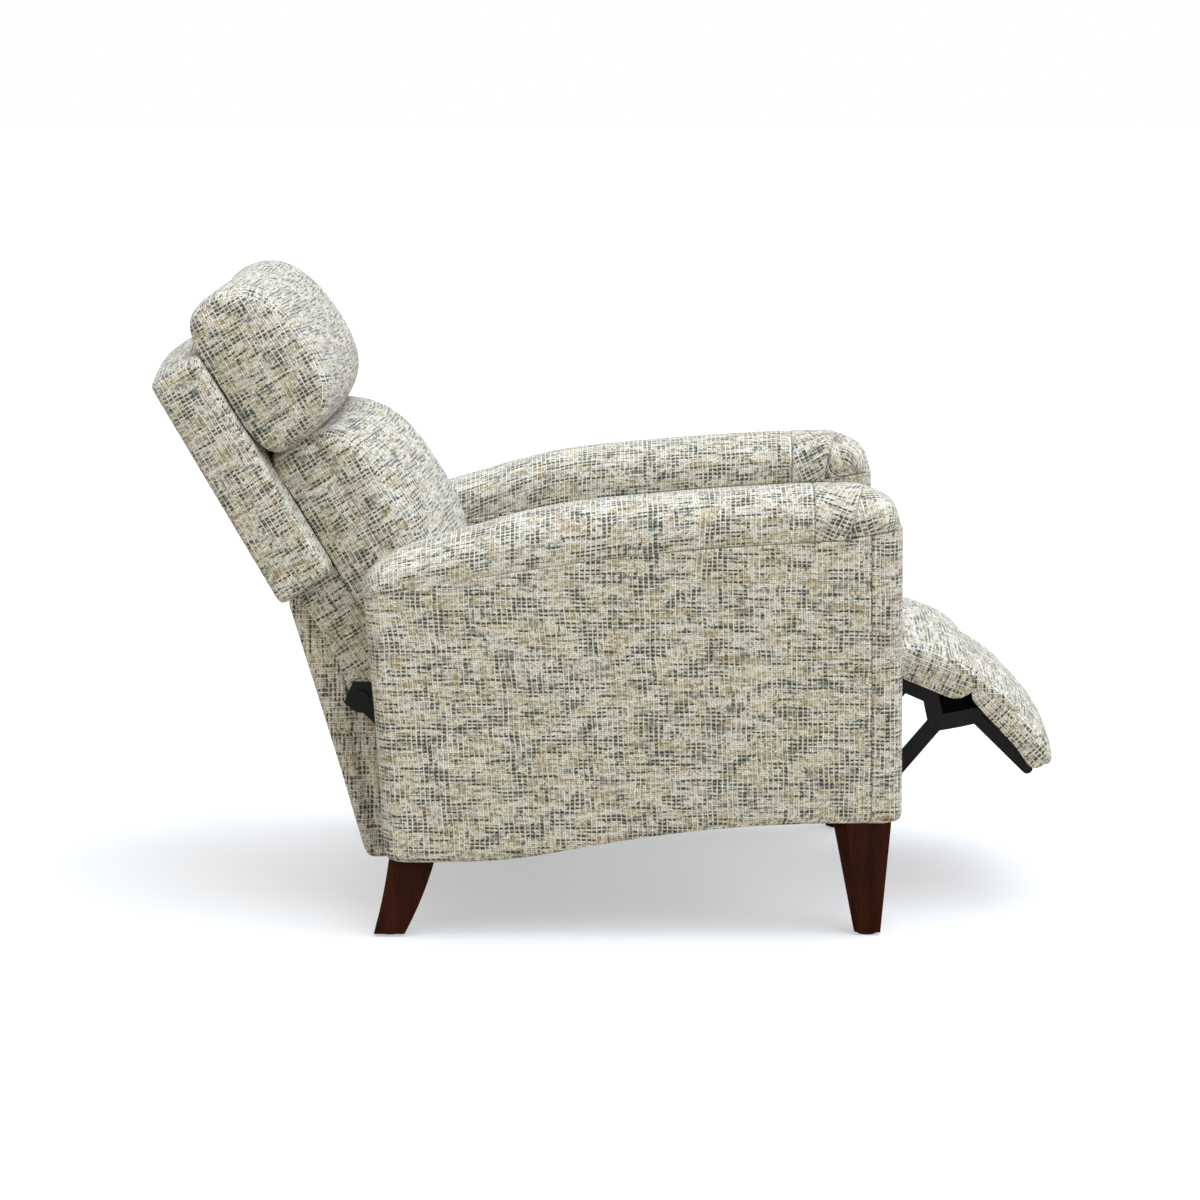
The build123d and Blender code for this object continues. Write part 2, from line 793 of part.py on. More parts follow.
mid_low = mid_board_t + soft_gap
mid_pad_mid = [
    mid_at(-mid_half + 16, mid_low), None,
    mid_at(mid_half - 18, mid_low), mid_at(mid_half - 1, 30.0),
    mid_at(mid_half - 14, 50.0), mid_at(14.0, mid_thick - 2),
    mid_at(-26.0, mid_thick), mid_at(-mid_half + 16, mid_thick - 10),
    mid_at(-mid_half + 2, 40.0), mid_at(-mid_half + 5, 22.0),
]
mid_pad_end = [
    mid_at(-mid_half + 18, mid_low), None,
    mid_at(mid_half - 20, mid_low), mid_at(mid_half - 5, 28.0),
    mid_at(mid_half - 18, 43.0), mid_at(14.0, mid_thick - 13),
    mid_at(-26.0, mid_thick - 11), mid_at(-mid_half + 20, mid_thick - 18),
    mid_at(-mid_half + 8, 36.0), mid_at(-mid_half + 10, 22.0),
]
with BuildPart() as mid_pad:
    for y, outline in ((-pad_half, mid_pad_end), (0.0, mid_pad_mid), (pad_half, mid_pad_end)):
        with BuildSketch(SIDE_ON.offset(y)):
            with BuildLine():
                loop(outline)
            make_face()
    loft()
save(mid_pad.part, "mid_pad")

# Outer pad of the leg rest
lobe = foot_at(-61.0, -32.0)
strip_a = foot_at(-50.0, -13.0)
strip_b = foot_at(foot_half - 12, -8.5)
elbow = mid_at(mid_half - 57, -mid_rise - 1.5)
for side in SIDES:
    with BuildPart() as foot_bracket:
        with BuildSketch(band(side, link_b_in, link_b_out)):
            bar(shoulder, elbow, link_r)
            bar(elbow, ankle, link_r)
            bar(ankle, lobe, link_r)
            bar(lobe, strip_a, link_r)
            bar(strip_a, strip_b, 8.0)
            hole(shoulder, pin_r + pin_fit)
            hole(ankle, pin_r)
        extrude(amount=plate_t)
        with BuildSketch(band(side, link_b_in - 34, link_b_out)):
            with BuildLine():
                Polyline(
                    foot_at(-48, -9.0), foot_at(-48, 0), foot_at(foot_half - 10, 0),
                    foot_at(foot_half - 10, -flange_t), foot_at(-44, -flange_t), foot_at(-44, -9.0), close=True,
                )
            make_face()
        extrude(amount=plate_t + 34)
    save(foot_bracket.part, side + "_foot_bracket")

with BuildPart() as foot_pins:
    for side in SIDES:
        with BuildSketch(band(side, link_c_in - play / 2, link_b_out)):
            disc(ankle, pin_r)
        extrude(amount=link_b_out - link_c_in + play / 2)
        with BuildSketch(band(side, link_c_in - play / 2 - head_t, link_c_in - play / 2)):
            disc(ankle, head_r)
        extrude(amount=head_t)
save(foot_pins.part, "foot_pivot_pins")

with BuildPart() as foot_board:
    with BuildSketch(SIDE_ON.offset(-board_half)):
        with BuildLine():
            Polyline(
                foot_at(-foot_half + 14, 0), foot_at(foot_half - 8, 0),
                foot_at(foot_half - 8, foot_board_t), foot_at(-foot_half + 14, foot_board_t), close=True,
            )
        make_face()
    extrude(amount=2 * board_half)
save(foot_board.part, "foot_board")

foot_low = foot_board_t + soft_gap
foot_pad_mid = [
    foot_at(-foot_half + 14, foot_low), None,
    foot_at(foot_half - 6, foot_low), foot_at(foot_half + 2, 24.0),
    foot_at(foot_half - 8, foot_thick - 8), foot_at(20.0, foot_thick + 4),
    foot_at(-foot_half + 24, foot_thick), foot_at(-foot_half + 6, foot_thick - 14),
    foot_at(-foot_half + 4, 24.0), foot_at(-foot_half + 8, 15.0),
]
foot_pad_end = [
    foot_at(-foot_half + 16, foot_low), None,
    foot_at(foot_half - 8, foot_low), foot_at(foot_half - 2, 22.0),
    foot_at(foot_half - 12, foot_thick - 14), foot_at(20.0, foot_thick - 5),
    foot_at(-foot_half + 28, foot_thick - 8), foot_at(-foot_half + 11, foot_thick - 18),
    foot_at(-foot_half + 8, 22.0), foot_at(-foot_half + 11, 15.0),
]
with BuildPart() as foot_pad:
    for y, outline in ((-pad_half, foot_pad_end), (0.0, foot_pad_mid), (pad_half, foot_pad_end)):
        with BuildSketch(SIDE_ON.offset(y)):
            with BuildLine():
                loop(outline)
            make_face()
    loft()
save(foot_pad.part, "foot_pad")
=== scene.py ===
"""Push-back recliner in multi-colour tweed: soft pieces, materials, light and camera."""

import json
import math

import bmesh
import bpy
import numpy as np
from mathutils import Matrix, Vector

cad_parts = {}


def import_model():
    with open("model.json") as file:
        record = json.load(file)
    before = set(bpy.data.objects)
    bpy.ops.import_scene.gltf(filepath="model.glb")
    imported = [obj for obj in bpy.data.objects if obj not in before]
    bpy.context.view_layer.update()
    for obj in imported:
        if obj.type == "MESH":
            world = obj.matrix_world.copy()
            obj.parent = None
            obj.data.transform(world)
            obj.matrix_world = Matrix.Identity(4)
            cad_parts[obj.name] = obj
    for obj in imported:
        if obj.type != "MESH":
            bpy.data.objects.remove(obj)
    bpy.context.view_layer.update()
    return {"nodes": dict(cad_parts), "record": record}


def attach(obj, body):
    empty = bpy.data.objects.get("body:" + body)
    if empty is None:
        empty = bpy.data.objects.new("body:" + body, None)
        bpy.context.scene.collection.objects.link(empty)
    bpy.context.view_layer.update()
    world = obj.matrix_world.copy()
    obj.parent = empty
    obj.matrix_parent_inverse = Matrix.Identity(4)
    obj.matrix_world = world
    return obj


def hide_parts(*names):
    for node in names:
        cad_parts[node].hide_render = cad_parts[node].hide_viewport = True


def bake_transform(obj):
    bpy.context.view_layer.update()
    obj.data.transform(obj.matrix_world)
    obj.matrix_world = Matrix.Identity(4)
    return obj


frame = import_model()

scene = bpy.context.scene
nodes = frame["nodes"]

# Shared places, in millimetres on the chair's side view
MIDDLE_X = 7.1
RECLINE = np.array([-338.0, 314.0])
LEAN = math.radians(30.5)
BACK_UP = np.array([-math.sin(LEAN), math.cos(LEAN)])
BACK_OUT = np.array([math.cos(LEAN), math.sin(LEAN)])
GAP_HALF = 243.5
ARM_W = 136.5

# Leg-rest linkage, which places the two pads
REST_PIVOT = np.array([339.8, 226.3])
LINK_SLOPE = 50
SHORT_LINK = 75
LONG_LINK = 140
MID_SLOPE = 22
MID_AT = np.array([26.3, 15.5])
FOOT_SLOPE = 47
FOOT_AT = np.array([78.6, 59.3])


def world(xz, y):
    """Side-view millimetres and a width to metres in the chair's frame."""
    xz = np.asarray(xz, float)
    y = np.broadcast_to(np.asarray(y, float), xz.shape[:-1])
    return np.stack([(xz[..., 0] - MIDDLE_X) / 1000, y / 1000, xz[..., 1] / 1000], axis=-1)


def on_back(p):
    """Places up the back and forward of it, to the side view."""
    p = np.asarray(p, float)
    return RECLINE + p[..., :1] * BACK_UP + p[..., 1:2] * BACK_OUT


def pad_plane(origin, slope):
    """Places along a leg-rest pad and square to it, to the side view."""
    a = math.radians(slope)
    run = np.array([math.cos(a), -math.sin(a)])
    rise = np.array([math.sin(a), math.cos(a)])

    def place(p):
        p = np.asarray(p, float)
        return np.asarray(origin) + p[..., :1] * run + p[..., 1:2] * rise

    return place


def flat_side(p):
    """Places that are already on the side view."""
    return np.asarray(p, float)


def step_from(p, deg, length):
    """The place at a slope and a distance from another one."""
    a = math.radians(deg)
    return np.asarray(p) + length * np.array([math.cos(a), math.sin(a)])


KNEE = step_from(REST_PIVOT, -LINK_SLOPE, SHORT_LINK)
SHOULDER = step_from(REST_PIVOT, LINK_SLOPE, LONG_LINK)
ANKLE = step_from(KNEE, LINK_SLOPE, LONG_LINK)
mid_place = pad_plane(pad_plane(SHOULDER, MID_SLOPE)(MID_AT), MID_SLOPE)
foot_place = pad_plane(pad_plane(ANKLE, FOOT_SLOPE)(FOOT_AT), FOOT_SLOPE)

# Curves


def smooth(points, per=14, closed=True):
    """Curve through the points with even tension, closed or open."""
    p = np.asarray(points, float)
    n = len(p)
    out = []
    spans = n if closed else n - 1
    for i in range(spans):
        if closed:
            q = [p[(i + k) % n] for k in (-1, 0, 1, 2)]
        else:
            q = [p[min(max(i + k, 0), n - 1)] for k in (-1, 0, 1, 2)]
            if i == 0:
                q[0] = 2 * p[0] - p[1]
            if i == n - 2:
                q[3] = 2 * p[-1] - p[-2]
        t = [0.0]
        for a, b in zip(q[:-1], q[1:]):
            t.append(t[-1] + max(np.linalg.norm(b - a), 1e-6) ** 0.5)
        for k in range(per):
            s = t[1] + (t[2] - t[1]) * k / per
            a1 = (t[1] - s) / (t[1] - t[0]) * q[0] + (s - t[0]) / (t[1] - t[0]) * q[1]
            a2 = (t[2] - s) / (t[2] - t[1]) * q[1] + (s - t[1]) / (t[2] - t[1]) * q[2]
            a3 = (t[3] - s) / (t[3] - t[2]) * q[2] + (s - t[2]) / (t[3] - t[2]) * q[3]
            b1 = (t[2] - s) / (t[2] - t[0]) * a1 + (s - t[0]) / (t[2] - t[0]) * a2
            b2 = (t[3] - s) / (t[3] - t[1]) * a2 + (s - t[1]) / (t[3] - t[1]) * a3
            out.append((t[2] - s) / (t[2] - t[1]) * b1 + (s - t[1]) / (t[2] - t[1]) * b2)
    if not closed:
        out.append(p[-1])
    return np.array(out)


def rounded(points, radius, arc=6, run=10):
    """Closed outline with straight edges and round corners, which take under half of an edge."""
    p = np.asarray(points, float)
    n = len(p)
    radius = np.broadcast_to(np.asarray(radius, float), (n,))
    most = 0.45
    ends = []
    for i in range(n):
        a = p[i - 1] - p[i]
        b = p[(i + 1) % n] - p[i]
        la = np.linalg.norm(a)
        lb = np.linalg.norm(b)
        a = a / la
        b = b / lb
        half = math.acos(max(-1.0, min(1.0, float(a @ b)))) / 2
        back = min(radius[i] / math.tan(half), most * la, most * lb)
        ends.append((p[i] + a * back, p[i], p[i] + b * back))
    out = []
    for i in range(n):
        s, c, e = ends[i]
        for k in range(arc):
            t = k / (arc - 1)
            out.append((1 - t) ** 2 * s + 2 * t * (1 - t) * c + t * t * e)
        nxt = ends[(i + 1) % n][0]
        for k in range(1, run):
            out.append(e + (nxt - e) * k / run)
    return np.array(out)


def lengths(curve):
    """Distance along a curve at each of its points."""
    return np.concatenate([[0], np.cumsum(np.linalg.norm(np.diff(curve, axis=0), axis=1))])


def spaced(curve, count, partner):
    """Even samples round a closed curve, and the matching samples of its partner."""
    length = lengths(np.vstack([curve, curve[:1]]))
    at = np.linspace(0, length[-1], count + 1)[:-1]

    def pick(c):
        c = np.vstack([c, c[:1]])
        return np.stack([np.interp(at, length, c[:, k]) for k in range(2)], axis=1)

    return pick(curve), pick(partner)


def ramp01(x, low, high):
    """0 up to low, 1 from high, and a smooth rise between them."""
    t = np.clip((np.asarray(x, float) - low) / (high - low), 0, 1)
    return t * t * (3 - 2 * t)


# Soft forms

NO_SEAM = (1.0, 0.0)


class Form:
    """Vertices, faces, weave coordinates and seam coordinates of one soft piece."""

    def __init__(self):
        self.co = []
        self.faces = []
        self.weave = []
        self.seam = []
        self.slots = []

    def add(self, points):
        first = len(self.co)
        self.co.extend(np.asarray(points, float).reshape(-1, 3))
        return first

    def face(self, corner, weave, seam=None, slot=0):
        self.faces.append(tuple(corner))
        self.weave.append(weave)
        self.seam.append(seam if seam is not None else [NO_SEAM] * len(corner))
        self.slots.append(slot)

    def build(self, name, materials):
        mesh = bpy.data.meshes.new(name)
        mesh.from_pydata([tuple(c) for c in self.co], [], self.faces)
        for layer, rows in (("weave", self.weave), ("seam", self.seam)):
            flat = [c for f in rows for c in f]
            mesh.uv_layers.new(name=layer)
            mesh.uv_layers[layer].data.foreach_set("uv", np.asarray(flat, np.float32).ravel())
        for m in materials:
            mesh.materials.append(m)
        mesh.polygons.foreach_set("material_index", np.asarray(self.slots, np.int32))
        mesh.polygons.foreach_set("use_smooth", np.ones(len(self.faces), bool))
        bm = bmesh.new()
        bm.from_mesh(mesh)
        bmesh.ops.recalc_face_normals(bm, faces=bm.faces)
        bm.to_mesh(mesh)
        bm.free()
        obj = bpy.data.objects.new(name, mesh)
        scene.collection.objects.link(obj)
        return obj


def coords(mesh):
    flat = np.empty(len(mesh.vertices) * 3)
    mesh.vertices.foreach_get("co", flat)
    return flat.reshape(-1, 3)


CLOTH_FRAMES = 20


def inflate(obj, held, pressure, limit):
    """Cloth under air pressure with its seams and backing held; the result stays in the mesh.

    limit is how far a point may move, in metres.
    """
    start = coords(obj.data)
    group = obj.vertex_groups.new(name="held")
    group.add(held, 1.0, "REPLACE")
    cloth = obj.modifiers.new("cloth", "CLOTH")
    s = cloth.settings
    s.quality = 6
    s.mass = 0.3
    s.tension_stiffness = 18
    s.compression_stiffness = 18
    s.shear_stiffness = 8
    s.bending_stiffness = 1.2
    s.vertex_group_mass = "held"
    s.use_pressure = True
    s.uniform_pressure_force = pressure
    s.effector_weights.gravity = 0
    cloth.collision_settings.use_collision = False
    cloth.point_cache.frame_start = 1
    cloth.point_cache.frame_end = CLOTH_FRAMES
    for f in range(1, CLOTH_FRAMES + 1):
        scene.frame_set(f)
    view = bpy.context.evaluated_depsgraph_get()
    move = coords(obj.evaluated_get(view).data) - start
    far = np.linalg.norm(move, axis=1)
    scale = np.where(far > 1e-9, limit * np.tanh(far / limit) / np.maximum(far, 1e-9), 1.0)
    obj.modifiers.remove(cloth)
    obj.vertex_groups.remove(group)
    obj.data.vertices.foreach_set("co", (start + move * scale[:, None]).ravel())
    obj.data.update()
    scene.frame_set(1)


def soften(obj):
    """One level of subdivision."""
    sub = obj.modifiers.new("smooth", "SUBSURF")
    sub.levels = 1
    sub.render_levels = 1
    sub.uv_smooth = "NONE"
    sub.use_limit_surface = False


# Cushion grid: turns of the rounded edge in degrees, with the sewn edge at one of them, and the rings of
# an end panel as shares of its outline
EDGE_TURNS = (14, 28, 38, 45, 52, 62, 76, 90)
SEWN_TURN = 45
PANEL_RINGS = (0.9, 0.78, 0.64, 0.5, 0.36, 0.22, 0.1)
PANEL_SHIFT = (0.37, 0.11)
DENT_WIDTH = 9.0
DENT_EDGE = 0.6
SKIRT_START = 3.4
SKIRT_END = 1.8


def seam_dent(points, lines):
    """How far an end panel is pulled in by its seams."""
    deep = np.zeros(len(points))
    for origin, direction, reach, _, depth in lines:
        d = np.asarray(direction, float)
        d = d / np.linalg.norm(d)
        rel = points - np.asarray(origin, float)
        run = np.clip(rel @ d, 0, reach)
        off = np.linalg.norm(rel - run[:, None] * d, axis=1)
        deep = np.maximum(deep, depth * np.exp(-((off / DENT_WIDTH) ** 2)))
    return deep


def nearest_seam(point, lines):
    """Signed distance to the nearest seam of an end panel in metres, and its strength, which sets how much
    its crease is darkened as painted shade.
    """
    best = NO_SEAM
    for origin, direction, reach, strength, _ in lines:
        d = np.asarray(direction, float)
        d = d / np.linalg.norm(d)
        rel = np.asarray(point) - np.asarray(origin, float)
        run = float(rel @ d)
        off = float(rel[0] * d[1] - rel[1] * d[0])
        if 0 <= run <= reach and abs(off) / 1000 < abs(best[0]):
            best = (off / 1000, strength)
    return best


def pillow(name, mid, end, place, *, half, edge, around, across, bulge, material, crown=2.0,
           shift=(0.0, 0.0), lines=(), flush=0.0, drop=None, held_below=-math.inf, pressure=0.0, limit=0.0):
    """Closed cushion: an outline that changes from the middle to the ends, and a sewn-in panel at each end.

    lines are straight seams on the end panels, each with its start, direction, reach, strength and depth
    in the outline's own axes. The strength sets how far the cloth rises beside a seam and how much its
    crease is darkened as painted shade.
    lies on another piece. drop says how far the end panels hang below the underside, by the place along
    the outline. Under pressure the cloth swells up to limit, held at the sewn edges and below held_below.
    """
    mid, end = spaced(np.asarray(mid, float), around, np.asarray(end, float))
    girth = lengths(np.vstack([mid, mid[:1]]))
    form = Form()
    flat = half - edge
    rings = [(y, 0.0, y) for y in np.linspace(-flat, flat, across)]
    for deg in EDGE_TURNS:
        a = math.radians(deg)
        y = flat + edge * math.sin(a)
        inset = edge * (1 - math.cos(a))
        rings.append((y, inset, flat + edge * a))
        rings.insert(0, (-y, inset, -(flat + edge * a)))
    last = len(rings) - 1
    sewn_near = len(EDGE_TURNS) - 1 - EDGE_TURNS.index(SEWN_TURN)
    sewn_far = last - sewn_near
    grid = []
    for y, inset, _ in rings:
        w = 1 - min(abs(y) / half, 1.0) ** crown
        outline = end + (mid - end) * w
        centre = (outline.max(axis=0) + outline.min(axis=0)) / 2
        reach = (outline.max(axis=0) - outline.min(axis=0)) / 2
        ring = centre + (outline - centre) * (1 - inset / reach)
        top = ring[:, 1].max()
        low = ring[:, 1].min()
        longer = flush * inset
        if drop is not None:
            longer = longer + drop(ring[:, 0]) * ramp01(abs(y), half - SKIRT_START, half - SKIRT_END)
        ring[:, 1] = top - (top - ring[:, 1]) * (top - low + longer) / (top - low)
        pull = seam_dent(ring, lines) * ramp01(abs(y), half - DENT_EDGE * edge, half)
        grid.append((form.add(world(place(ring), y - math.copysign(1, y) * pull)), ring))

    def on_panel(points):
        """Weave coordinates on an end panel."""
        first = shift[0] + PANEL_SHIFT[0]
        second = shift[1] + PANEL_SHIFT[1]
        return [(p[1] / 1000 + first, p[0] / 1000 + second) for p in points]

    for k in range(last):
        first, ring = grid[k]
        nxt, nxt_ring = grid[k + 1]
        for i in range(around):
            j = (i + 1) % around
            corner = (first + i, first + j, nxt + j, nxt + i)
            if sewn_near <= k < sewn_far:
                at = ((k, i), (k, i + 1), (k + 1, i + 1), (k + 1, i))
                weave = [(rings[r][2] / 1000 + shift[0], girth[g] / 1000 + shift[1]) for r, g in at]
                form.face(corner, weave)
            else:
                points = (ring[i], ring[j], nxt_ring[j], nxt_ring[i])
                found = [nearest_seam(p, lines) for p in points]
                one_seam = NO_SEAM not in found and len({strength for _, strength in found}) == 1
                form.face(corner, on_panel(points), found if one_seam else None)

    panels = []
    for side, (first, base) in ((-1, grid[0]), (1, grid[last])):
        centre = (base.max(axis=0) + base.min(axis=0)) / 2
        ring = base
        for share in PANEL_RINGS:
            nxt_ring = centre + (base - centre) * share
            y = side * (half + bulge * (1 - share * share) - seam_dent(nxt_ring, lines))
            nxt = form.add(world(place(nxt_ring), y))
            panels.append((nxt, nxt_ring))
            for i in range(around):
                j = (i + 1) % around
                points = (ring[i], ring[j], nxt_ring[j], nxt_ring[i])
                found = [nearest_seam(p, lines) for p in points]
                corner = (first + i, first + j, nxt + j, nxt + i)
                form.face(corner, on_panel(points), None if NO_SEAM in found else found)
            first, ring = nxt, nxt_ring
        tip = form.add(world(place(centre[None]), side * (half + bulge)))
        for i in range(around):
            j = (i + 1) % around
            form.face((first + i, first + j, tip), on_panel((ring[i], ring[j], centre)))

    obj = form.build(name, [material])
    if pressure:
        held = set()
        for k in (sewn_near, sewn_far):
            held.update(range(grid[k][0], grid[k][0] + around))
        for first, ring in grid + panels:
            held.update(first + i for i in range(around) if ring[i][1] < held_below)
        inflate(obj, sorted(held), pressure, limit)
    return obj


# Material tools


class Paint:
    """Short names for building a node material."""

    def __init__(self, name):
        self.mat = bpy.data.materials.new(name)
        self.mat.use_nodes = True
        self.tree = self.mat.node_tree
        self.tree.nodes.clear()
        self.out = self.node("ShaderNodeOutputMaterial")
        self.bsdf = self.node("ShaderNodeBsdfPrincipled")
        self.link(self.bsdf.outputs[0], self.out.inputs[0])

    def node(self, kind, **props):
        n = self.tree.nodes.new(kind)
        for key, value in props.items():
            setattr(n, key, value)
        return n

    def link(self, a, b):
        self.tree.links.new(a, b)

    def put(self, socket, value):
        if isinstance(value, bpy.types.NodeSocket):
            self.link(value, socket)
        else:
            socket.default_value = value

    def surface(self, values):
        """Fill the named sockets of the main shader."""
        for name, value in values.items():
            self.put(self.bsdf.inputs[name], value)

    def math(self, op, a, b=0.0, c=0.0):
        n = self.node("ShaderNodeMath", operation=op)
        for socket, value in zip(n.inputs, (a, b, c)):
            self.put(socket, value)
        return n.outputs[0]

    def times(self, a, b):
        return self.math("MULTIPLY", a, b)

    def step(self, value, low, high):
        """0 at low, 1 at high, with a smooth rise."""
        n = self.node("ShaderNodeMapRange", interpolation_type="SMOOTHSTEP")
        self.put(n.inputs["Value"], value)
        n.inputs["From Min"].default_value = low
        n.inputs["From Max"].default_value = high
        return n.outputs[0]

    def below(self, value, low, high):
        """1 at low, 0 at high, with a smooth fall."""
        return self.math("SUBTRACT", 1.0, self.step(value, low, high))

    def span(self, value, low, high, to_low, to_high):
        n = self.node("ShaderNodeMapRange")
        self.put(n.inputs["Value"], value)
        n.inputs["From Min"].default_value = low
        n.inputs["From Max"].default_value = high
        n.inputs["To Min"].default_value = to_low
        n.inputs["To Max"].default_value = to_high
        return n.outputs[0]

    def join(self, x, y, z=0.0):
        n = self.node("ShaderNodeCombineXYZ")
        for socket, value in zip(n.inputs, (x, y, z)):
            self.put(socket, value)
        return n.outputs[0]

    def noise(self, vector, scale=1.0, detail=1.0, rough=0.5, flat=True):
        n = self.node("ShaderNodeTexNoise", noise_dimensions="2D" if flat else "3D")
        self.put(n.inputs["Vector"], vector)
        n.inputs["Scale"].default_value = scale
        n.inputs["Detail"].default_value = detail
        n.inputs["Roughness"].default_value = rough
        return n

    def streaks(self, x, x_scale, y, y_scale, x_from=0.0, y_from=0.0):
        """Noise with a scale of its own along each axis."""
        x = self.math("MULTIPLY_ADD", x, x_scale, x_from)
        y = self.math("MULTIPLY_ADD", y, y_scale, y_from)
        return self.noise(self.join(x, y)).outputs["Fac"]

    def mix(self, share, a, b, blend="MIX"):
        n = self.node("ShaderNodeMix", data_type="RGBA", blend_type=blend)
        self.put(n.inputs["Factor"], share)
        self.put(n.inputs[6], a)
        self.put(n.inputs[7], b)
        return n.outputs[2]

    def ramp(self, value, stops):
        n = self.node("ShaderNodeValToRGB")
        els = n.color_ramp.elements
        while len(els) < len(stops):
            els.new(0.5)
        for e, (at, colour) in zip(els, stops):
            e.position = at
            e.color = colour
        self.put(n.inputs[0], value)
        return n.outputs[0]

    def bump(self, height, strength, distance):
        n = self.node("ShaderNodeBump")
        self.put(n.inputs["Height"], height)
        n.inputs["Strength"].default_value = strength
        n.inputs["Distance"].default_value = distance
        return n.outputs[0]


def rgb(code):
    """Screen colour to the linear colour that the nodes take."""
    part = [int(code[i:i + 2], 16) / 255 for i in (0, 2, 4)]
    lin = [c / 12.92 if c <= 0.04045 else ((c + 0.055) / 1.055) ** 2.4 for c in part]
    return (lin[0], lin[1], lin[2], 1.0)


# Yarn colours, and the cloth's sizes in metres
WHITE = rgb("f1efe8")
IVORY = rgb("ebe6d8")
CREAM = rgb("cdc5ac")
SAND = rgb("b6a988")
TAN = rgb("9a8561")
BROWN = rgb("8f7a58")
GREY = rgb("9a9c90")
STEEL = rgb("737870")
SLATE = rgb("2b2a24")
# Colour of the painted shade in the crease along seams and folds
SEAM_PAINTED_SHADE = rgb("453a2a")
WARP_PITCH = 0.0071
WEFT_PITCH = 0.00565
YARNS = 2.0
WANDER = (0.0050, 0.0040, 0.0)
YARN_RELIEF = 0.0003
SEAM_RELIEF = 0.0008


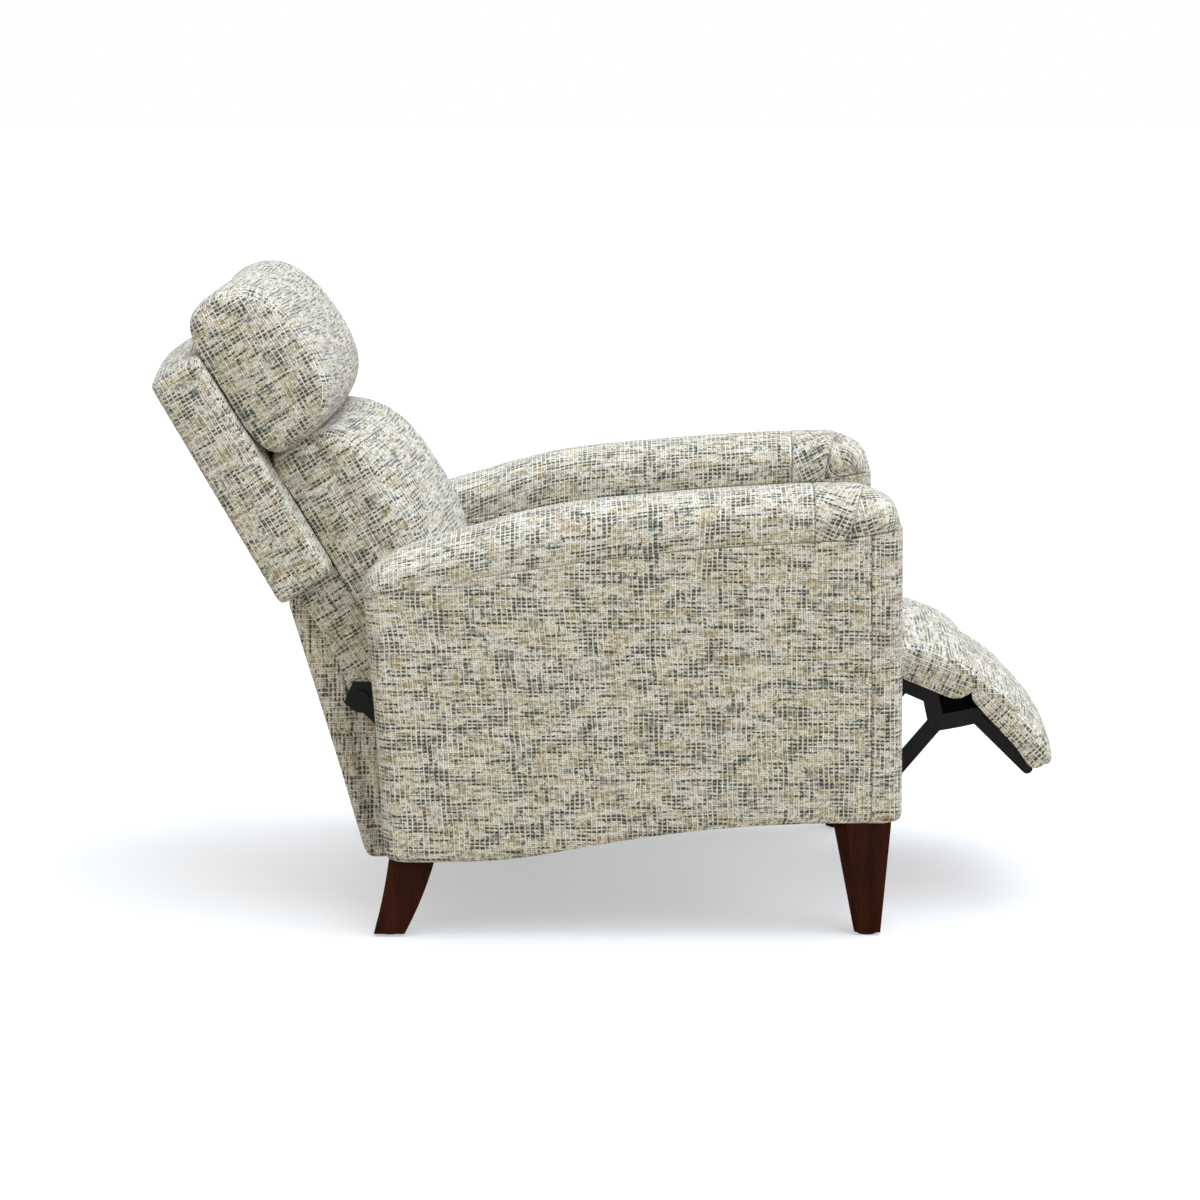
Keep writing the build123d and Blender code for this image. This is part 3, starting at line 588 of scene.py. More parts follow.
def make_tweed():
    """Loose plain weave: a speckled pale ground, thin white warp ribs and rows of dyed slub floats."""
    p = Paint("tweed")
    weave = p.node("ShaderNodeUVMap", uv_map="weave").outputs[0]
    shifted = p.node("ShaderNodeVectorMath", operation="MULTIPLY_ADD")
    p.link(p.noise(weave, 16.0, 2.0).outputs["Color"], shifted.inputs[0])
    shifted.inputs[1].default_value = WANDER
    p.link(weave, shifted.inputs[2])
    parts = p.node("ShaderNodeSeparateXYZ")
    p.link(shifted.outputs[0], parts.inputs[0])
    along = parts.outputs[0]
    up = parts.outputs[1]

    # Yarn counts: warp columns run up the cloth, weft rows run along it
    u = p.math("DIVIDE", along, WARP_PITCH)
    v = p.math("DIVIDE", up, WEFT_PITCH)
    col = p.math("FLOOR", u)
    row = p.math("FLOOR", v)
    from_col = p.math("ABSOLUTE", p.math("SUBTRACT", p.math("SUBTRACT", u, col), 0.5))
    from_row = p.math("ABSOLUTE", p.math("SUBTRACT", p.math("SUBTRACT", v, row), 0.5))

    # Ground: each weft pick and warp end has its own run of tones, each crossing its own speck
    pick = p.math("FLOOR", p.times(v, YARNS))
    end = p.math("FLOOR", p.times(u, YARNS))
    cell = p.node("ShaderNodeTexWhiteNoise", noise_dimensions="2D")
    p.link(p.join(end, pick), cell.inputs["Vector"])
    runs = p.streaks(along, 34.0, pick, 3.77)
    ends = p.streaks(end, 4.37, up, 38.0)
    tone = p.math("MULTIPLY_ADD", runs, 0.48, p.times(ends, 0.36))
    tone = p.math("MULTIPLY_ADD", cell.outputs["Value"], 0.16, tone)
    drift = p.times(p.streaks(along, 26.0, up, 48.0), 0.35)
    colour = p.ramp(p.math("ADD", tone, drift), [
        (0.48, STEEL), (0.56, GREY), (0.62, CREAM), (0.68, IVORY), (0.74, CREAM), (0.81, SAND), (0.93, TAN),
    ])

    # Dyed floats: dotted dark rows and short stacks, thinned where a warp rib crosses them
    shade = p.math("ADD", p.streaks(along, 27.0, row, 7.31), drift)
    tall = p.math("ADD", p.streaks(col, 5.93, up, 32.0), drift)
    in_row = p.below(from_row, 0.15, 0.26)
    in_col = p.below(from_col, 0.22, 0.36)
    dull = p.times(p.below(shade, 0.60, 0.70), in_row)
    colour = p.mix(p.times(dull, 0.6), colour, STEEL)
    warm = p.streaks(along, 22.0, pick, 4.19, y_from=7.7)
    colour = p.mix(p.times(p.step(warm, 0.60, 0.67), 0.5), colour, BROWN)
    colour = p.mix(p.times(p.below(warm, 0.33, 0.40), 0.5), colour, WHITE)
    rows = p.times(p.below(shade, 0.565, 0.605), in_row)
    rows = p.times(rows, p.math("MULTIPLY_ADD", in_col, 0.6, 0.4))
    stacks = p.times(p.below(tall, 0.50, 0.54), in_col)
    stacks = p.times(stacks, p.math("MULTIPLY_ADD", in_row, 0.65, 0.35))
    colour = p.mix(p.times(p.math("MAXIMUM", rows, stacks), 0.92), colour, SLATE)

    # White ribs over everything, strong in some runs and lost in others
    rib = p.streaks(col, 4.71, up, 20.0, x_from=17.3)
    ribs = p.times(p.step(from_col, 0.33, 0.45), p.span(rib, 0.40, 0.64, 0.10, 0.78))
    colour = p.mix(ribs, colour, WHITE)

    # Yarn relief and fibre; the relief also darkens the colour between the yarns as painted shade
    wave_u = p.math("COSINE", p.times(u, 2 * math.pi * YARNS))
    wave_v = p.math("COSINE", p.times(v, 2 * math.pi * YARNS))
    relief_and_shade = p.math("ADD", p.times(wave_u, 0.5), p.times(wave_v, 0.5))
    fuzz = p.noise(weave, 700.0).outputs["Fac"]
    # Painted shade: the colour is darker where the yarn relief is low, between the yarns, and a little
    # lighter on their crowns; the fuzz is a random fibre tone.
    grain = p.times(p.span(relief_and_shade, -1.0, 0.6, 0.74, 1.06), p.span(fuzz, 0.25, 0.75, 0.46, 1.38))
    colour = p.mix(1.0, colour, p.join(grain, grain, grain), "MULTIPLY")

    # Seams: a narrow crease with a soft rise on both sides, the crease's colour darkened as painted shade;
    # the second coordinate is its strength, for both the painted shade and the rise
    seam = p.node("ShaderNodeUVMap", uv_map="seam")
    gap = p.node("ShaderNodeSeparateXYZ")
    p.link(seam.outputs[0], gap.inputs[0])
    dist = p.math("ABSOLUTE", gap.outputs[0])
    power = gap.outputs[1]
    # Painted shade: the colour is darkened in the narrow crease, where shade would fall
    crease_shade = p.times(p.below(dist, 0.0003, 0.0013), power)
    colour = p.mix(p.times(crease_shade, 0.62), colour, SEAM_PAINTED_SHADE)
    swell = p.math("SUBTRACT", p.step(dist, 0.0, 0.0022), p.step(dist, 0.003, 0.010))
    height = p.math("MULTIPLY_ADD", relief_and_shade, YARN_RELIEF, p.times(p.times(swell, power), SEAM_RELIEF))
    p.surface({
        "Base Color": colour, "Roughness": 0.95, "Specular IOR Level": 0.2, "Sheen Weight": 0.25,
        "Sheen Roughness": 0.5, "Normal": p.bump(height, 0.75, 1.0),
    })
    return p.mat


def make_wood(name, dark, mid, light, rough, gloss, scale=(1.0, 1.0, 0.12)):
    """Grain drawn out along the axis with the small scale."""
    p = Paint(name)
    at = p.node("ShaderNodeTexCoord")
    grain = p.node("ShaderNodeMapping")
    p.link(at.outputs["Object"], grain.inputs["Vector"])
    grain.inputs["Scale"].default_value = scale
    rings = p.noise(grain.outputs[0], 55.0, 4.0, 0.6, False).outputs["Fac"]
    fine = p.noise(grain.outputs[0], 420.0, 3.0, 0.65, False).outputs["Fac"]
    tone = p.math("MULTIPLY_ADD", fine, 0.45, p.times(rings, 0.6))
    p.surface({
        "Base Color": p.ramp(tone, [(0.36, dark), (0.52, mid), (0.70, light)]),
        "Roughness": p.span(fine, 0.3, 0.7, rough - 0.06, rough + 0.08),
        "Specular IOR Level": gloss,
        "Normal": p.bump(fine, 0.12, 0.0004),
    })
    return p.mat


def make_plain(name, dark, light, metallic, rough, gloss=0.5):
    """Metal, paint, plastic or lining: a cloudy tone with a fine grain."""
    p = Paint(name)
    at = p.node("ShaderNodeTexCoord")
    grain = p.noise(at.outputs["Object"], 900.0, 2.0, 0.6, False).outputs["Fac"]
    cloud = p.noise(at.outputs["Object"], 35.0, 2.0, 0.55, False).outputs["Fac"]
    p.surface({
        "Base Color": p.ramp(cloud, [(0.3, dark), (0.7, light)]),
        "Metallic": metallic,
        "Specular IOR Level": gloss,
        "Roughness": p.span(cloud, 0.3, 0.7, rough - 0.07, rough + 0.09),
        "Normal": p.bump(grain, 0.10, 0.0003),
    })
    return p.mat


tweed = make_tweed()
cambric = make_plain("cambric", rgb("0c0c0c"), rgb("141414"), 0.0, 0.95, 0.1)
FINISH = {
    "tweed": tweed,
    "leg_wood": make_wood("leg_wood", rgb("1d0a04"), rgb("301306"), rgb("421c0b"), 0.5, 0.08),
    "frame_wood": make_wood(
        "frame_wood", rgb("a47f52"), rgb("c09a6a"), rgb("d4b385"), 0.7, 0.2, (0.15, 1.0, 1.0)),
    "zinc_steel": make_plain("zinc_steel", rgb("8f9092"), rgb("b4b6b8"), 1.0, 0.36),
    "black_steel": make_plain("black_steel", rgb("0a0a0a"), rgb("121212"), 0.0, 0.38, 0.2),
    "glide_plastic": make_plain("glide_plastic", rgb("101010"), rgb("1c1c1c"), 0.0, 0.6),
    "black_board": make_plain("black_board", rgb("0d0d0d"), rgb("141414"), 0.0, 0.9, 0.15),
}
for entry in frame["record"]["subparts"]:
    thing = nodes[entry["node"]]
    finish = FINISH[entry["material_slot"]]
    if not thing.material_slots:
        thing.data.materials.append(finish)
    for held_slot in thing.material_slots:
        held_slot.material = finish


def declare(obj, fill, *stands_for, finish="tweed"):
    """Hide the nodes that the piece replaces; what it is made of and how full it is are not used."""
    if stands_for:
        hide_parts(*stands_for)


def settle(obj, body, fill, *stands_for, finish="tweed"):
    """Smooth the piece, tie it to its body and hide the nodes that it replaces."""
    soften(obj)
    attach(obj, body)
    declare(obj, fill, *stands_for, finish=finish)


def stretch(obj, start, end, fill, finish="tweed"):
    """Smooth the piece and bake its place into its mesh; start and end are not used."""
    soften(obj)
    tuple(world(start, 0.0))
    tuple(world(end, 0.0))
    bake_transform(obj)
    declare(obj, fill, finish=finish)


# Back cushions, in places up the back and forward of it
HEAD_MID = [
    (470, 68), (552, 68), (581, 86), (597, 128), (592, 167), (570, 194), (527, 213), (468, 219),
    (420, 218), (384, 208), (365, 186), (361, 128), (370, 84), (398, 68),
]
HEAD_END = [
    (470, 66), (556, 64), (585, 74), (597, 104), (592, 139), (573, 170), (536, 189), (490, 198),
    (444, 200), (402, 191), (371, 163), (359, 122), (359, 82), (384, 68),
]
headrest = pillow(
    "headrest", smooth(HEAD_MID), smooth(HEAD_END), on_back, half=280.0, edge=30, around=110, across=30,
    crown=2.2, bulge=7.0, flush=1.0, held_below=72, pressure=4.0, limit=0.012, material=tweed,
    lines=[((590, 104), (-0.8, 0.6), 44, 0.6, 5.0), ((402, 60), (0.10, 1), 100, 0.9, 5.0)],
)
settle(headrest, "back", 0.8, "headrest_cushion")

LUMBAR_MID = [
    (190, 67), (300, 67), (352, 70), (360, 118), (354, 166), (335, 203), (297, 228), (250, 238), (200, 241),
    (150, 238), (104, 229), (66, 206), (46, 166), (42, 116), (52, 78), (84, 67),
]
LUMBAR_END = [
    (190, 67), (300, 67), (360, 68), (368, 98), (361, 136), (341, 163), (306, 180), (256, 187), (200, 188),
    (150, 186), (105, 179), (67, 161), (47, 132), (44, 104), (53, 76), (86, 67),
]
lumbar = pillow(
    "lumbar", smooth(LUMBAR_MID), smooth(LUMBAR_END), on_back, half=235.0, edge=19, around=110, across=28,
    bulge=1.0, flush=1.0, held_below=71, pressure=4.0, limit=0.010, material=tweed, shift=(0.31, 0.83),
    lines=[((356, 132), (-1, 0.03), 190, 0.9, 5.0)],
)
settle(lumbar, "back", 0.8, "lumbar_cushion")

# Back shell: wide slab, narrower sleeve and the tail that hangs behind
SLAB_MID = [(178, -20), (552, -16), (555, 65), (181, 65)]
SLAB_END = [(178, -19), (534, -15), (533, 61), (181, 65)]
slab = pillow(
    "back_slab", rounded(SLAB_MID, (9, 14, 14, 9)), rounded(SLAB_END, 9), on_back, half=309.0, edge=11,
    around=120, across=30, bulge=3.0, material=tweed, shift=(0.12, 0.45),
)
settle(slab, "back", 0.95, "upper_back_cover")

SLEEVE = [(11, 5), (60, 5), (186, 5), (186, 65), (60, 65), (11, 65)]
FLAP = [(-17, -21), (60, -4), (186, -2), (186, 65), (60, 65), (-10, 22)]
sleeve = pillow(
    "back_sleeve", rounded(SLEEVE, 7), rounded(FLAP, 7), on_back, half=229.0, edge=3, around=90, across=22,
    crown=70.0, bulge=0.0, material=tweed, shift=(0.57, 0.21),
)
settle(sleeve, "back", 0.95, "lower_back_cover")

TAIL_TOP = on_back([(174, 11), (172, -20)])
TAIL_LOW = [(-331, 80), (-301, 80), (-311, 196), (-315, 270), (-318, 318), (-334, 331)]
tail_outline = rounded(np.vstack([TAIL_TOP, TAIL_LOW]), (5, 9, 9, 5, 30, 40, 12, 5))
# The tail's line is a valley crease: pulled in, and its colour darkened as painted shade.
tail = pillow(
    "tail", tail_outline, tail_outline, flat_side, half=222.0, edge=8, around=130, across=22, bulge=0.0,
    material=tweed, shift=(0.77, 0.64), lines=[((-318, 100), (-0.163, 0.987), 218, 0.35, 7.0)],
)
settle(tail, "back", 0.95, "tail_panel")

# Seat
SEAT_MID = [
    (110, 388), (304, 388), (328, 392), (338, 414), (343, 440), (338, 462), (314, 473), (220, 477),
    (110, 477), (-20, 471), (-98, 459), (-124, 444), (-130, 420), (-128, 398), (-112, 388), (0, 388),
]
SEAT_END = [
    (110, 388), (302, 388), (324, 392), (333, 412), (337, 432), (331, 446), (308, 454), (220, 457),
    (110, 457), (-20, 452), (-96, 442), (-119, 430), (-125, 414), (-123, 398), (-108, 388), (0, 388),
]
seat = pillow(
    "seat_cushion_cover", smooth(SEAT_MID), smooth(SEAT_END), flat_side, half=237.0, edge=16, around=120,
    across=28, crown=2.6, bulge=1.0, flush=0.6, held_below=391, pressure=4.0, limit=0.010, material=tweed,
    shift=(0.44, 0.15),
)
settle(seat, "seat", 0.75, "seat_cushion")

# Leg-rest pads, in places along each pad and square to it; their end panels hang over the boards
MID_PAD = [
    (0, 12.6), (44, 12.6), (63, 17), (72, 31), (66, 47), (44, 57), (14, 63), (-24, 59.5), (-52, 46),
    (-67, 33), (-69, 22), (-58, 13.5), (-40, 12.6),
]
MID_PAD_END = [
    (0, 12.6), (50, 12.6), (68, 15), (77, 24), (71, 37), (50, 43), (14, 44), (-24, 42), (-52, 35),
    (-68, 27), (-70, 20), (-60, 13.5), (-40, 12.6),
]
mid_pad = pillow(
    "leg_rest_mid_pad", smooth(MID_PAD), smooth(MID_PAD_END), mid_place, half=231.0, edge=15, around=90,
    across=28, crown=2.4, bulge=1.0, flush=1.0, held_below=15, pressure=3.0, limit=0.005, material=tweed,
    shift=(0.21, 0.05), drop=lambda s: 21.0 * ramp01(s, -56, -26) - 6.0 * ramp01(s, 44, 68),
)
settle(mid_pad, "mid_rest", 0.8, "mid_pad")

FOOT_PAD = [
    (0, 10.6), (46, 10.6), (64, 13), (71, 24), (64, 41), (46, 50), (20, 53), (-20, 52), (-46, 49),
    (-62, 38), (-65, 24), (-58, 12.5), (-44, 10.6),
]
FOOT_PAD_END = [
    (0, 10.6), (50, 10.6), (69, 12), (76, 19), (69, 29), (48, 36), (20, 38.5), (-20, 38.5), (-52, 37),
    (-78, 31), (-88, 20), (-79, 12), (-50, 10.6),
]
foot_pad = pillow(
    "leg_rest_outer_pad", smooth(FOOT_PAD), smooth(FOOT_PAD_END), foot_place, half=231.0, edge=14, around=90,
    across=28, crown=2.4, bulge=1.0, flush=1.0, held_below=13, pressure=3.0, limit=0.005, material=tweed,
    shift=(0.63, 0.39), drop=lambda s: 10.0 + 5.0 * ramp01(s, 20, 60),
)
settle(foot_pad, "foot_rest", 0.8, "foot_pad")


def wedge(mid_drop, foot_drop):
    """Cloth that carries the cover on from one pad to the other, filling the notch between them."""
    m = mid_drop
    f = foot_drop
    one = mid_place([(64, 30), (36, 46 - m), (14, 64 - m), (38, 60.5 - m), (57, 54.5 - m), (66, 50 - m)])
    two = foot_place([
        (-56, 50 - f), (-44, 53 - f), (-22, 54.5 - f), (-4, 50 - f), (-34, 38 - f), (-56, 22), (-59, 15),
    ])
    return smooth(np.vstack([one, two, mid_place([(64, 19)])]))


bridge = pillow(
    "leg_rest_bridge", wedge(3, 0), wedge(18, 14), flat_side, half=230.0, edge=13, around=96, across=28,
    crown=2.4, bulge=0.5, material=tweed, shift=(0.21, 0.33),
)
stretch(bridge, (527, 352), (562, 328), 0.6)

# Black lining that sags under the boards, between the brackets, and joins them
MID_LINING = [(-50, -0.5), (38, -0.5), (40, -6), (26, -17), (4, -19), (-24, -12), (-48, -5)]
FOOT_LINING = [(-52, -0.5), (58, -0.5), (57, -4), (40, -9), (-10, -15), (-40, -16), (-54, -8)]
GUSSET = [
    (470, 332), (514, 314), (535, 300), (549, 285), (541, 277), (523, 271), (503, 275), (485, 278),
    (476, 300),
]


def lining(name, points, place, half, around):
    outline = rounded(points, 4)
    return pillow(name, outline, outline, place, half=half, edge=3, around=around, across=14, bulge=0.0,
                  material=cambric)


mid_lining = lining("leg_rest_mid_lining", MID_LINING, mid_place, 178.0, 60)
settle(mid_lining, "mid_rest", 0.3, finish="black_board")
outer_lining = lining("leg_rest_outer_lining", FOOT_LINING, foot_place, 184.0, 60)
settle(outer_lining, "foot_rest", 0.3, finish="black_board")
gusset = lining("leg_rest_gusset", GUSSET, flat_side, 177.0, 70)
stretch(gusset, (498, 306), (530, 284), 0.3, finish="black_board")

# Cloth behind the seat cushion, from the seat frame to the back
DECK = [
    (-114, 399), (-150, 396.5), (-190, 394), (-222, 395), (-246, 402), (-262, 410), (-269, 402), (-246, 391),
    (-222, 385.5), (-200, 384.3), (-188, 387.4), (-150, 387.4), (-118, 387.6),
]
deck = pillow(
    "seat_deck", smooth(DECK), smooth(DECK), flat_side, half=212.0, edge=3.5, around=110, across=24,
    bulge=0.0, material=tweed, shift=(0.05, 0.71),
)
stretch(deck, (-195, 392), (-252, 402), 0.3)

# Covered front of the seat frame
BAND = [(303.5, 347), (308, 347), (309, 352), (309, 378), (307, 386), (303.5, 386)]
band_outline = rounded(BAND, 1.5, 4, 6)
band = pillow(
    "seat_front_band", band_outline, band_outline, flat_side, half=208.0, edge=1.2, around=48, across=22,
    bulge=0.0, material=tweed, shift=(0.38, 0.52),
)
settle(band, "seat", 0.95)

# Arms: edges of the side, the seam that the roll is sewn to, and the roll's crest
REAR_EDGE = np.array([(-300, 110), (-312, 310), (-326, 481)], float)
FRONT_EDGE = np.array([(420, 165), (416.5, 577)], float)
BOTTOM = smooth([
    (-330, 110), (-260, 109.5), (-200, 110.5), (-130, 115.5), (-30, 132), (40, 143), (110, 152), (200, 160),
    (300, 164.5), (420, 165),
], closed=False)
SEAM = smooth([
    (-330, 478), (-316, 481), (-165, 509), (0, 534), (137, 549), (233, 555.5), (296, 559.5), (341, 563),
    (369, 568), (400, 574), (420, 577),
], closed=False)
CREST = smooth([
    (-331, 480), (-327, 499), (-314, 517), (-293, 532), (-268, 544), (-205, 563), (-69, 600), (90, 618),
    (249, 629), (330, 631.5), (361, 630), (386, 620.5), (403, 610), (411, 596), (416, 577),
], per=24, closed=False)
ARM_MID = GAP_HALF + ARM_W / 2
HALF_W = ARM_W / 2 - 0.3
ARM_CORNER = 24.0
HIDDEN_ROWS = (0.02, 0.25, 0.5, 0.75, 0.98)

# Arm side: its length, the place of its front seam, and how far the cloth swells and is drawn in
SIDE_LENGTH = 733.0
SIDE_REAR = -316
SIDE_RUN = 731
SIDE_HEIGHT = 400.0
FRONT_SEAM = 44.0
BAND_SHIFT = (0.29, 0.374)
HEM_ROUND = 10.0
HEM_TUCK = 2.0
SEAM_TUCK = 1.8
OUTER_SWELL = 4.5
INNER_SWELL = 1.0
NO_SEAM_NEAR = 40.0


def arm_body(side):
    """Upholstered side of the arm: outer and inner faces, rounded ends, hem and underside."""
    sign = -1 if side == "right" else 1
    corner = ARM_CORNER
    span = SIDE_LENGTH - 2 * corner
    seam_at = 1 - (FRONT_SEAM - corner) / span
    beside_seam = 0.007

    # Half of the plan, from the rear end round the outer face to the front end: share of the length,
    # distance from that place and distance from the arm's middle
    ends = np.linspace(0, 1, 6)[:-1] * (HALF_W - corner)
    turns = np.linspace(0, math.pi / 2, 8)
    fractions = [f for f in np.linspace(0, 1, 54) if abs(f - seam_at) > 0.012]
    fractions = sorted(fractions + [seam_at - beside_seam, seam_at, seam_at + beside_seam])
    half = [(0.0, 0.0, y) for y in ends]
    for a in turns[:-1]:
        half.append((0.0, corner * (1 - math.cos(a)), HALF_W - corner + corner * math.sin(a)))
    seam_index = len(half) + fractions.index(seam_at)
    half += [(f, corner - 2 * corner * f, HALF_W) for f in fractions]
    for a in turns[1:]:
        half.append((1.0, -corner * (1 - math.sin(a)), HALF_W - corner + corner * math.cos(a)))
    half += [(1.0, 0.0, y) for y in ends[::-1]]
    count = len(half)
    heights = np.concatenate([[0.0, 0.003, 0.008, 0.016, 0.027], np.linspace(0.05, 0.965, 26), [0.994, 1.0]])
    top = len(heights) - 1
    form = Form()

    def place(i, h, outer):
        share, off, y = half[i]
        x0 = SIDE_REAR + (share + off / SIDE_LENGTH) * SIDE_RUN
        low = np.interp(x0, BOTTOM[:, 0], BOTTOM[:, 1])
        high = np.interp(x0, SEAM[:, 0], SEAM[:, 1])
        z = low + h * (high - low)
        short = max(HEM_ROUND - (z - low), 0.0)
        drawn = HEM_ROUND - math.sqrt(HEM_ROUND ** 2 - short ** 2)
        rear = np.interp(z, REAR_EDGE[:, 1], REAR_EDGE[:, 0]) + drawn
        front = np.interp(z, FRONT_EDGE[:, 1], FRONT_EDGE[:, 0]) - drawn
        x = (1 - share) * rear + share * front + off
        most = OUTER_SWELL if outer else INNER_SWELL
        swell = most * math.sin(math.pi * min(max(h, 0), 1)) ** 0.6 * (y / HALF_W) ** 3
        tuck = HEM_TUCK * (1 - ramp01(h, 0.0, 0.03))
        if i == seam_index:
            tuck = tuck + SEAM_TUCK
        if y < HALF_W - 1 and share in (0.0, 1.0):
            away = 1 if share > 0.5 else -1
            x = x - away * tuck * (1 - y / HALF_W)
        y = y + (swell - tuck) * (y / HALF_W) ** 2
        return (x, z), sign * (ARM_MID + (y if outer else -y))

    order = [(i, True) for i in range(count)] + [(i, False) for i in range(count - 2, 0, -1)]
    n = len(order)
    halfway = [place(i, 0.5, outer) for i, outer in order]
    arc = lengths(np.array([(p[0], y) for p, y in halfway + halfway[:1]]))
    table = []
    rise = []
    for h in heights:
        row = [place(i, h, outer) for i, outer in order]
        table.append(form.add([world(p, y) for p, y in row]))
        rise.append([p[1] for p, _ in row])
    for r in range(top):
        for k in range(n):
            j = (k + 1) % n
            weave = []
            seam = []
            shift = BAND_SHIFT if order[k][0] + order[j][0] > 2 * seam_index else (0.0, 0.0)
            for rr, kk, aa in ((r, k, k), (r, j, k + 1), (r + 1, j, k + 1), (r + 1, k, k)):
                share = half[order[kk][0]][0]
                weave.append((arc[aa] / 1000 + shift[0], rise[rr][kk] / 1000 + shift[1]))
                # Seam coordinates: distance to the front seam and to the roll seam, where the tweed darkens
                # the crease as painted shade.
                gap = abs(share - seam_at) * span if 0 < share < 1 else NO_SEAM_NEAR
                seam.append((min(gap, (1 - heights[rr]) * SIDE_HEIGHT) / 1000, 1.0))
            form.face((table[r] + k, table[r] + j, table[r + 1] + j, table[r + 1] + k), weave, seam)

    # Underside in black lining and hidden top in cloth, from the outer to the inner face
    for r, bow, slot in ((0, -1.5, 1), (top, 1.0, 0)):
        path = [[table[r] + i for i in range(count)]]
        for t in HIDDEN_ROWS:
            row = []
            for i in range(count):
                (x, z), outer_y = place(i, heights[r], True)
                inner_y = place(i, heights[r], False)[1]
                row.append(world((x, z + bow * math.sin(math.pi * t)), outer_y + (inner_y - outer_y) * t))
            first = form.add(row)
            path.append([first + i for i in range(count)])
        path.append([table[r] + (i if i in (0, count - 1) else n - i) for i in range(count)])
        for c in range(len(path) - 1):
            for i in range(count - 1):
                ids = (path[c][i], path[c][i + 1], path[c + 1][i + 1], path[c + 1][i])
                form.face(ids, [(half[i][0] * 0.7, c * 0.02)] * 4, None, slot)
    return form.build(side + "_arm_side", [tweed, cambric])


# Arm roll: its section, its cross seam and the rows of arches along it
ROLL_RISE = 0.82
ROLL_BREADTH = 0.74
ROLL_LIP = 2.0
CROSS_X = 294.5
CROSS_TUCK = 1.8
CROSS_GAP = 4
REAR_FAN = 95
REAR_ROWS = 16
TOP_ROWS = 44
FRONT_ROWS = 70
ROLL_SHIFT = 0.5

# Gathers at the roll's front corner: the ridge of a fold, the tucks beside it with their depths, how the
# cloth moves there, the line ahead of the ridge whose colour is darkened as painted shade, and the weave's
# tilts behind and ahead of the fold
RIDGE = np.array([(368, 640), (354, 622), (349, 604), (342, 580), (341, 562)], float)
RIDGE_RISE = 4.2
RIDGE_BACK = 17
RIDGE_FALL = 5.5
RIDGE_FADE = (6, 30)
TUCKS = [
    (np.array([(366, 612), (372, 592), (369, 573)], float), 3.2),
    (np.array([(344, 572), (362, 585)], float), 2.6),
    (np.array([(348, 566), (384, 580)], float), 2.6),
]
TUCK_WIDTH = 4.0
FAN_CENTRE = np.array([330.0, 575.0])
GATHER_ZONE = (10, 44)
GATHER_UP = 0.35
GATHER_OUT = 0.9
FOLD_SHADE_LINE = 3.5
FOLD_WEAVE = 2.0
TILTS = (math.radians(24), math.radians(-13))
TILT_SHIFT = (0.5, 0.2)


def to_line(points, line):
    """Distance from each point to a bent line, positive on its front side."""
    best = np.full(len(points), 1e9)
    signed = np.zeros(len(points))
    for a, b in zip(line[:-1], line[1:]):
        d = b - a
        t = np.clip(((points - a) @ d) / (d @ d), 0, 1)
        rel = points - (a + t[:, None] * d)
        gap = np.linalg.norm(rel, axis=1)
        front = rel[:, 0] * d[1] - rel[:, 1] * d[0]
        near = gap < best
        best = np.where(near, gap, best)
        signed = np.where(near, np.where(front < 0, gap, -gap), signed)
    return signed


def pleats(points):
    """How far the cloth stands out at the front corner: a fold laid over forward, and tucks beside it."""
    gap = to_line(points, RIDGE)
    behind = RIDGE_RISE * np.exp(np.minimum(gap, 0) / RIDGE_BACK)
    ahead = RIDGE_RISE * (1 - 2 * ramp01(gap, 0, RIDGE_FALL) + ramp01(gap, *RIDGE_FADE))
    push = np.where(gap < 0, behind, ahead)
    for line, deep in TUCKS:
        push = push - deep * np.exp(-((to_line(points, line) / TUCK_WIDTH) ** 2))
    return push


